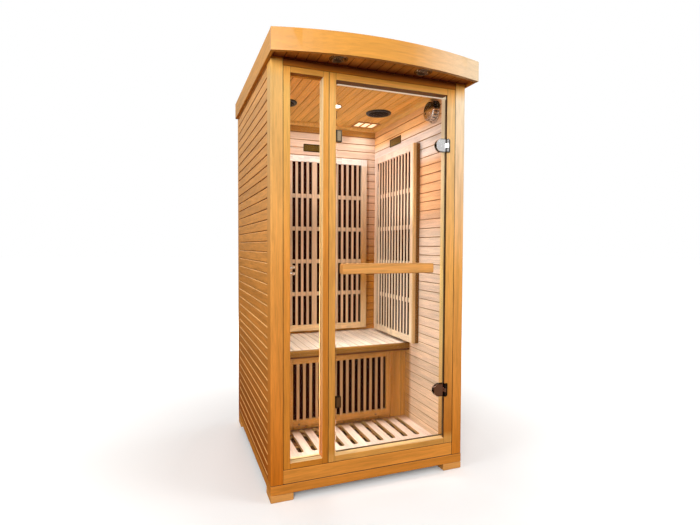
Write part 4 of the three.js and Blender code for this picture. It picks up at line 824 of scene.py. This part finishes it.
SMOOTH_ANGLE = 32
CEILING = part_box("ceiling_panel")[LOW][Z]
CLEAR = 0.0003
RIGHT_PLATE_Y, RIGHT_PLATE_Z = 0.2185, 1.6835
REAR_PLATE_X, REAR_PLATE_Z = 0.0025, 1.6695
TO_FRONT = Matrix.Rotation(math.pi / 2, 4, "X")
TO_LEFT = Matrix.Rotation(-math.pi / 2, 4, "Z") @ TO_FRONT
TO_RIGHT = Matrix.Rotation(math.pi / 2, 4, "Z") @ TO_FRONT


def middle(node):
    low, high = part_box(node)
    return Vector([(a + b) / 2 for a, b in zip(low, high)])


def lathe(mesh, profile, place, segments=72):
    """Turn a profile of (radius, height, paint) about the Z axis of `place`; paint is a band's material."""
    turns = [2 * math.pi * i / segments for i in range(segments)]
    rings = []
    for radius, height, _ in profile:
        spots = [(radius * math.cos(a), radius * math.sin(a), height) for a in turns]
        rings.append([mesh.verts.new(place @ Vector(spot)) for spot in (spots if radius else spots[:1])])
    for ring, after, (_, _, paint) in zip(rings, rings[1:], profile):
        for i in range(segments):
            j = (i + 1) % segments
            corners = [ring[i % len(ring)], ring[j % len(ring)]]
            corners += [after[j % len(after)], after[i % len(after)]]
            mesh.faces.new(dict.fromkeys(corners)).material_index = paint


def cap(radius, low, high, paint, steps=9):
    """Profile of a shallow dome from its crown at `low` to its rim at `high`."""
    return [(radius * i / steps, low + (high - low) * (i / steps) ** 2, paint) for i in range(steps + 1)]


def tablet(mesh, width, height, radius, layers, place, steps=6):
    """A plate with round corners, from layers of (inset, height above the wall, paint)."""
    rings = []
    for inset, rise, _ in layers:
        bend = max(radius - inset, 0.0002)
        half_x, half_y = width / 2 - inset - bend, height / 2 - inset - bend
        centres = ((half_x, half_y), (-half_x, half_y), (-half_x, -half_y), (half_x, -half_y))
        ring = []
        for corner, (x, y) in enumerate(centres):
            for i in range(steps + 1):
                a = (corner + i / steps) * math.pi / 2
                spot = Vector((x + bend * math.cos(a), y + bend * math.sin(a), rise))
                ring.append(mesh.verts.new(place @ spot))
        rings.append(ring)
    for ring, after, (_, _, paint) in zip(rings, rings[1:], layers):
        for i, corner in enumerate(ring):
            j = (i + 1) % len(ring)
            mesh.faces.new((corner, ring[j], after[j], after[i])).material_index = paint
    mesh.faces.new(rings[0])
    mesh.faces.new(rings[-1]).material_index = layers[-1][2]


def fins(mesh, place, inner, outer, low, high, count, share, paint, steps=4):
    """Upright bars round a drum, each filling `share` of its pitch."""
    pitch = 2 * math.pi / count
    for number in range(count):
        sides = []
        for i in range(steps + 1):
            a = pitch * (number + 0.5 + share * (i / steps - 0.5))
            sides.append([
                mesh.verts.new(place @ Vector((r * math.cos(a), r * math.sin(a), h)))
                for r, h in ((inner, low), (outer, low), (outer, high), (inner, high))
            ])
        for first, second in zip(sides, sides[1:]):
            for k in range(4):
                corners = (first[k], first[(k + 1) % 4], second[(k + 1) % 4], second[k])
                mesh.faces.new(corners).material_index = paint
        for end in (sides[0], sides[-1]):
            mesh.faces.new(end).material_index = paint


def piece(name, mesh, materials, hides=None):
    bmesh.ops.recalc_face_normals(mesh, faces=mesh.faces)
    for face in mesh.faces:
        face.smooth = True
    data = bpy.data.meshes.new(name)
    mesh.to_mesh(data)
    mesh.free()
    data.set_sharp_from_angle(angle=math.radians(SMOOTH_ANGLE))
    for material in materials:
        data.materials.append(material)
    thing = bpy.data.objects.new(name, data)
    bpy.context.collection.objects.link(thing)
    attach(thing, "cabin")
    if hides:
        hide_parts(hides)


def ceiling_place(node):
    """A frame on the underside of the ceiling, in the middle of a fitting."""
    centre = middle(node)
    return Matrix.Translation((centre.x, centre.y, CEILING))


def speaker(side):
    node = f"{side}_speaker"
    low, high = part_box(node)
    crown, top, rim = low[Z] - CEILING, high[Z] - CEILING, (high[X] - low[X]) / 2
    cloth, body = 0, 1
    profile = cap(0.056, crown, crown + 0.0105, cloth)[:-1] + [
        (0.0560, crown + 0.0105, body), (0.0566, crown + 0.0138, body), (0.0584, crown + 0.0138, body),
        (0.0590, crown + 0.0122, body), (0.0612, crown + 0.0113, body), (0.0680, crown + 0.0124, body),
        (rim - 0.0010, crown + 0.0150, body), (rim, -0.0012, body), (rim, -CLEAR, body),
        (0.0568, -CLEAR, body), (0.0568, 0.014, body), (0.0440, 0.026, body), (0.0300, 0.0345, body),
        (0.0280, 0.036, body), (0.0280, top - 0.001, body), (0.0270, top, body), (0.0, top, body),
    ]
    form = bmesh.new()
    lathe(form, profile, ceiling_place(node))
    piece(f"{node}_turned", form, [grille_mesh, black_plastic], node)


def recessed_lamp(node, lens, cone, bezel):
    low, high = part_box(node)
    drop, top, rim = low[Z] - CEILING, high[Z] - CEILING, (high[X] - low[X]) / 2
    face, bowl, ring, can = 0, 1, 2, 3
    profile = cap(0.0225, 0.0034, 0.0062, face, 5)[:-1] + [
        (0.0225, 0.0062, ring), (0.0236, 0.0056, bowl), (0.0300, drop + 0.0014, ring),
        (0.0315, drop + 0.0003, ring), (0.0335, drop, ring), (0.0370, drop + 0.0007, ring),
        (rim - 0.0003, drop + 0.0022, ring), (rim, -CLEAR, ring), (0.0288, -CLEAR, can),
        (0.0288, top - 0.002, can), (0.0268, top, can), (0.0, top, can),
    ]
    form = bmesh.new()
    lathe(form, profile, ceiling_place(node))
    piece(f"{node}_turned", form, [lens, cone, bezel, steel], node)


def ioniser():
    low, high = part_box("ioniser")
    centre = middle("ioniser")
    place = Matrix.Translation((high[X], centre.y, centre.z)) @ Matrix.Rotation(-math.pi / 2, 4, "Y")
    depth, rim = high[X] - low[X], (high[Z] - low[Z]) / 2
    shell, dark = 0, 1
    drum, body, slot_low, slot_high = 0.0425, 0.048, 0.0115, 0.0295
    fin_count, fin_share, fin_root = 18, 0.62, 0.0005
    form = bmesh.new()
    lathe(form, [
        (0.0, 0.0, shell), (rim, 0.0, shell), (rim, 0.0060, shell), (rim - 0.0012, 0.0082, shell),
        (rim - 0.0050, 0.0096, shell), (body + 0.0006, 0.0100, shell), (body, slot_low, dark),
        (drum, slot_low, dark), (drum, slot_high, dark), (body, slot_high, shell),
        (body - 0.0006, 0.0340, shell), (body - 0.0030, 0.0374, shell), (body - 0.0070, 0.0392, shell),
        (0.0360, depth - 0.0014, shell), (0.0340, depth - 0.0012, shell),
        (0.0326, depth - 0.0026, shell), (0.0306, depth - 0.0034, shell),
        (0.0240, depth - 0.0018, shell), (0.0120, depth - 0.0004, shell), (0.0, depth, shell),
    ], place)
    fins(form, place, drum - fin_root, body, slot_low, slot_high, fin_count, fin_share, shell)
    piece("ioniser_turned", form, [ioniser_chrome, black_plastic], "ioniser")


def robe_hook():
    """A round wall plate with two prongs that end in balls."""
    low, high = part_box("robe_hook")
    centre = middle("robe_hook")
    wall = Matrix.Translation((low[X], centre.y, centre.z))
    ball, rise = 0.008, 0.014
    reach = high[X] - low[X] - ball
    length = math.hypot(reach, rise)
    form = bmesh.new()
    lathe(form, [
        (0.0, 0.0, 0), (0.0180, 0.0, 0), (0.0180, 0.0026, 0), (0.0166, 0.0044, 0), (0.0130, 0.0050, 0),
        (0.0, 0.0050, 0),
    ], wall @ Matrix.Rotation(math.pi / 2, 4, "Y"), 48)
    stem = [(0.0, 0.0025, 0), (0.0045, 0.0025, 0), (0.0045, 0.010, 0), (0.0034, length * 0.6, 0)]
    turns = [math.pi * i / 10 for i in range(2, 10)]
    tip = [(ball * math.sin(a), length - ball * math.cos(a), 0) for a in turns]
    for sign in (1, -1):
        lean = wall @ Matrix.Rotation(math.atan2(reach, sign * rise), 4, "Y")
        lathe(form, stem + tip + [(0.0, length + ball, 0)], lean, 32)
    piece("robe_hook_turned", form, [hook_nickel], "robe_hook")


def bare_plate(name, spot, turn):
    """A brass plate with a raised edge and nothing on it."""
    width, height, corner = 0.145, 0.047, 0.003
    field, edge = 0, 1
    layers = [
        (0.0, CLEAR, edge), (0.0, 0.0012, edge), (0.0005, 0.0018, edge), (0.0060, 0.0018, edge),
        (0.0066, 0.0008, field),
    ]
    form = bmesh.new()
    tablet(form, width, height, corner, layers, Matrix.Translation(spot) @ turn)
    piece(name, form, [brass, dark_brass])


def display():
    """The glass let into the upper part of the control panel."""
    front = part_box("control_panel")[HIGH][X]
    centre = middle("control_panel")
    width, height, corner = 0.069, 0.033, 0.003
    sunk, lift = 0.002, 0.053
    layers = [(0.0, CLEAR, 0), (0.0, 0.0011, 0), (0.0008, 0.0017, 0), (0.0020, 0.0019, 0)]
    place = Matrix.Translation((front - sunk, centre.y, centre.z + lift))
    form = bmesh.new()
    tablet(form, width, height, corner, layers, place @ TO_RIGHT)
    piece("control_display", form, [display_glass])


def rail_screws():
    """Two screws in the lower rail of the calf heater's cover."""
    low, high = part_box("calf_heater_cover")
    height = 0.0095
    for number, share in enumerate((0.098, 0.848)):
        spot = (low[X] + share * (high[X] - low[X]), low[Y], low[Z] + height)
        form = bmesh.new()
        lathe(form, [
            (0.0, 0.0, 0), (0.0052, 0.0, 0), (0.0052, 0.0009, 0), (0.0046, 0.0018, 0),
            (0.0024, 0.0023, 0), (0.0021, 0.0008, 0), (0.0, 0.0008, 0),
        ], Matrix.Translation(spot) @ TO_FRONT, 32)
        piece(f"calf_rail_screw_{number + 1}", form, [dark_screw])


for side in ("left", "right"):
    speaker(side)
    recessed_lamp(f"{side}_downlight", dim_lens, dim_chrome, dim_chrome)
recessed_lamp("ceiling_spot", spot_lens, spot_lens, chrome)
ioniser()
robe_hook()
display()
rail_screws()
right_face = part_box("right_wall_lining")[LOW][X]
bare_plate("plate_right_wall", (right_face, RIGHT_PLATE_Y, RIGHT_PLATE_Z), TO_LEFT)
rear_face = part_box("rear_wall_lining")[LOW][Y]
bare_plate("plate_rear_wall", (REAR_PLATE_X, rear_face, REAR_PLATE_Z), TO_FRONT)


# Floor, backdrop and light

WHITE = (1.0, 1.0, 1.0)
DAYLIGHT = (1.0, 0.985, 0.96)
WARM = (1.0, 0.97, 0.92)
COOL = (0.95, 0.98, 1.0)
AMBIENT = 0.34
SKY = (-0.05, 0.38, 0.12, 1.0)
FLOOR_HALF = 40.0
FLOOR_DROP = 0.0005
FLOOR_WHITE = (0.90, 0.90, 0.90)
FLOOR_BROWNS = ((0.13, 0.075, 0.045), (0.15, 0.09, 0.055))
FLOOR_GLOW = (0.8, 2.8, 0.08, 0.72)


def studio_floor():
    """White to the camera and brown to the light that it sends back."""
    g = Graph("studio_floor")
    seen = g.seen()
    dull = g.mix(g.noise(g.place, 3.0, 2.0), *(rgb(brown) for brown in FLOOR_BROWNS))
    matt = g.principled({
        "Base Color": g.mix(seen, dull, rgb(FLOOR_WHITE)),
        "Roughness": 0.9,
        "Specular IOR Level": 0.0,
    })
    away = g.add("ShaderNodeVectorMath", {0: g.place}, operation="LENGTH").outputs["Value"]
    glow = g.times(seen, g.span(away, *FLOOR_GLOW))
    white = g.add("ShaderNodeEmission", {0: rgb(WHITE), 1: glow})
    g.finish(g.add("ShaderNodeAddShader", {0: matt.outputs[0], 1: white.outputs[0]}))
    mesh = bpy.data.meshes.new("studio_floor")
    corners = [(x * FLOOR_HALF, y * FLOOR_HALF, 0) for x, y in ((-1, -1), (1, -1), (1, 1), (-1, 1))]
    mesh.from_pydata(corners, [], [(0, 1, 2, 3)])
    floor = bpy.data.objects.new("studio_floor", mesh)
    floor.location.z = -FLOOR_DROP
    mesh.materials.append(g.material)
    bpy.context.collection.objects.link(floor)


def studio_world():
    """White to the camera, a gradient to reflections and an even glow to the rest."""
    world = bpy.data.worlds.new("studio")
    bpy.context.scene.world = world
    tree = Tree(world)
    height = tree.split(tree.add("ShaderNodeTexCoord").outputs["Generated"])[Z]
    sky = tree.span(height, *SKY)
    glossy = tree.add("ShaderNodeLightPath").outputs["Is Glossy Ray"]
    level = tree.mix_value(glossy, AMBIENT, sky)
    soft = tree.add("ShaderNodeBackground", {0: rgb(DAYLIGHT), 1: level})
    white = tree.add("ShaderNodeBackground", {0: rgb(WHITE), 1: 1.0})
    blend = tree.mix_shader(tree.seen(), soft, white)
    tree.add("ShaderNodeOutputWorld", {0: blend.outputs[0]})


def lamp(name, place, aim, size, watts, colour=WHITE, spread=180.0, shines=False, tall=None):
    """A disk, or a rectangle if `tall`, that shows in reflections only if it `shines`."""
    data = bpy.data.lights.new(name, "AREA")
    data.energy = watts
    data.color = colour
    data.shape = "RECTANGLE" if tall else "DISK"
    data.size = size
    data.size_y = tall or size
    data.spread = math.radians(spread)
    thing = bpy.data.objects.new(name, data)
    thing.location = place
    thing.rotation_euler = (Vector(aim) - Vector(place)).to_track_quat("-Z", "Y").to_euler()
    thing.visible_camera = False
    thing.visible_glossy = shines
    thing.visible_transmission = False
    bpy.context.collection.objects.link(thing)


studio_floor()
studio_world()
lamp("key", (-2.2, -4.4, 2.5), (0.0, -0.4, 1.1), 2.4, 170.0, DAYLIGHT, shines=True)
lamp("right_rim", (3.0, -2.5, 2.6), (0.2, -0.4, 1.2), 2.0, 52.0, shines=True)
lamp("left_fill", (-4.2, -1.2, 2.9), (-0.4, 0.0, 1.3), 2.4, 64.0)
lamp("right_fill", (4.2, 1.2, 2.2), (0.0, 0.0, 1.0), 2.4, 34.0)
lamp("back_fill", (0.0, 4.6, 2.6), (0.0, 0.4, 1.0), 2.4, 70.0)
lamp("cabin_spot", (0.0, 0.13, 1.812), (0.0, 0.13, 0.0), 0.07, 4.0, (0.93, 0.97, 1.0))
lamp("cabin_corner", (0.305, 0.43, 1.812), (0.305, 0.43, 0.0), 0.12, 0.22, (0.96, 0.97, 1.0), 120.0)
lamp("cabin_side", (-0.33, -0.30, 0.62), (0.41, -0.12, 0.5), 0.08, 2.8, COOL, 160.0, tall=0.9)
lamp("cabin_front", (0.12, -0.2, 1.79), (0.12, -0.2, 0.0), 0.5, 1.5, COOL, 44.0, tall=0.12)
lamp("cabin_window", (-0.372, -0.345, 1.30), (-0.238, -0.385, 1.30), 0.02, 0.9, WARM, tall=0.9)
lamp("cabin_bench", (0.0, 0.22, 1.80), (0.0, 0.22, 0.0), 0.5, 1.35, COOL, 50.0, tall=0.12)
lamp("cabin_rise", (0.05, 0.0, 1.2), (0.1, 0.05, 1.8), 0.5, 1.7, WARM)


# Camera at the photograph's place, with the focal length and centre in pixels of the photograph

PHOTO_WIDTH, PHOTO_HEIGHT = 700.0, 525.0
FOCAL_LENGTH = 466.402
CENTRE_X, CENTRE_Y = 348.508, 261.686
SENSOR_WIDTH = 36.0
CAMERA_PLACE = (-0.8347, -2.2850, 1.0629)
YAW, PITCH, ROLL = math.radians(20.805), math.radians(1.893), math.radians(0.247)


def camera():
    data = bpy.data.cameras.new("camera")
    data.sensor_width = SENSOR_WIDTH
    data.sensor_fit = "HORIZONTAL"
    data.lens = SENSOR_WIDTH * FOCAL_LENGTH / PHOTO_WIDTH
    data.shift_x = (PHOTO_WIDTH / 2 - CENTRE_X) / PHOTO_WIDTH
    data.shift_y = (CENTRE_Y - PHOTO_HEIGHT / 2) / PHOTO_WIDTH
    data.clip_start = 0.05
    data.clip_end = 100.0
    ahead = math.cos(PITCH)
    forward = Vector((math.sin(YAW) * ahead, math.cos(YAW) * ahead, -math.sin(PITCH)))
    level = Vector((math.cos(YAW), -math.sin(YAW), 0.0))
    upright = level.cross(forward)
    right = level * math.cos(ROLL) + upright * math.sin(ROLL)
    up = upright * math.cos(ROLL) - level * math.sin(ROLL)
    thing = bpy.data.objects.new("camera", data)
    turn = Matrix((right, up, -forward)).transposed().to_4x4()
    thing.matrix_world = Matrix.Translation(CAMERA_PLACE) @ turn
    bpy.context.collection.objects.link(thing)
    bpy.context.scene.camera = thing


camera()
bpy.context.scene.view_settings.view_transform = "Standard"
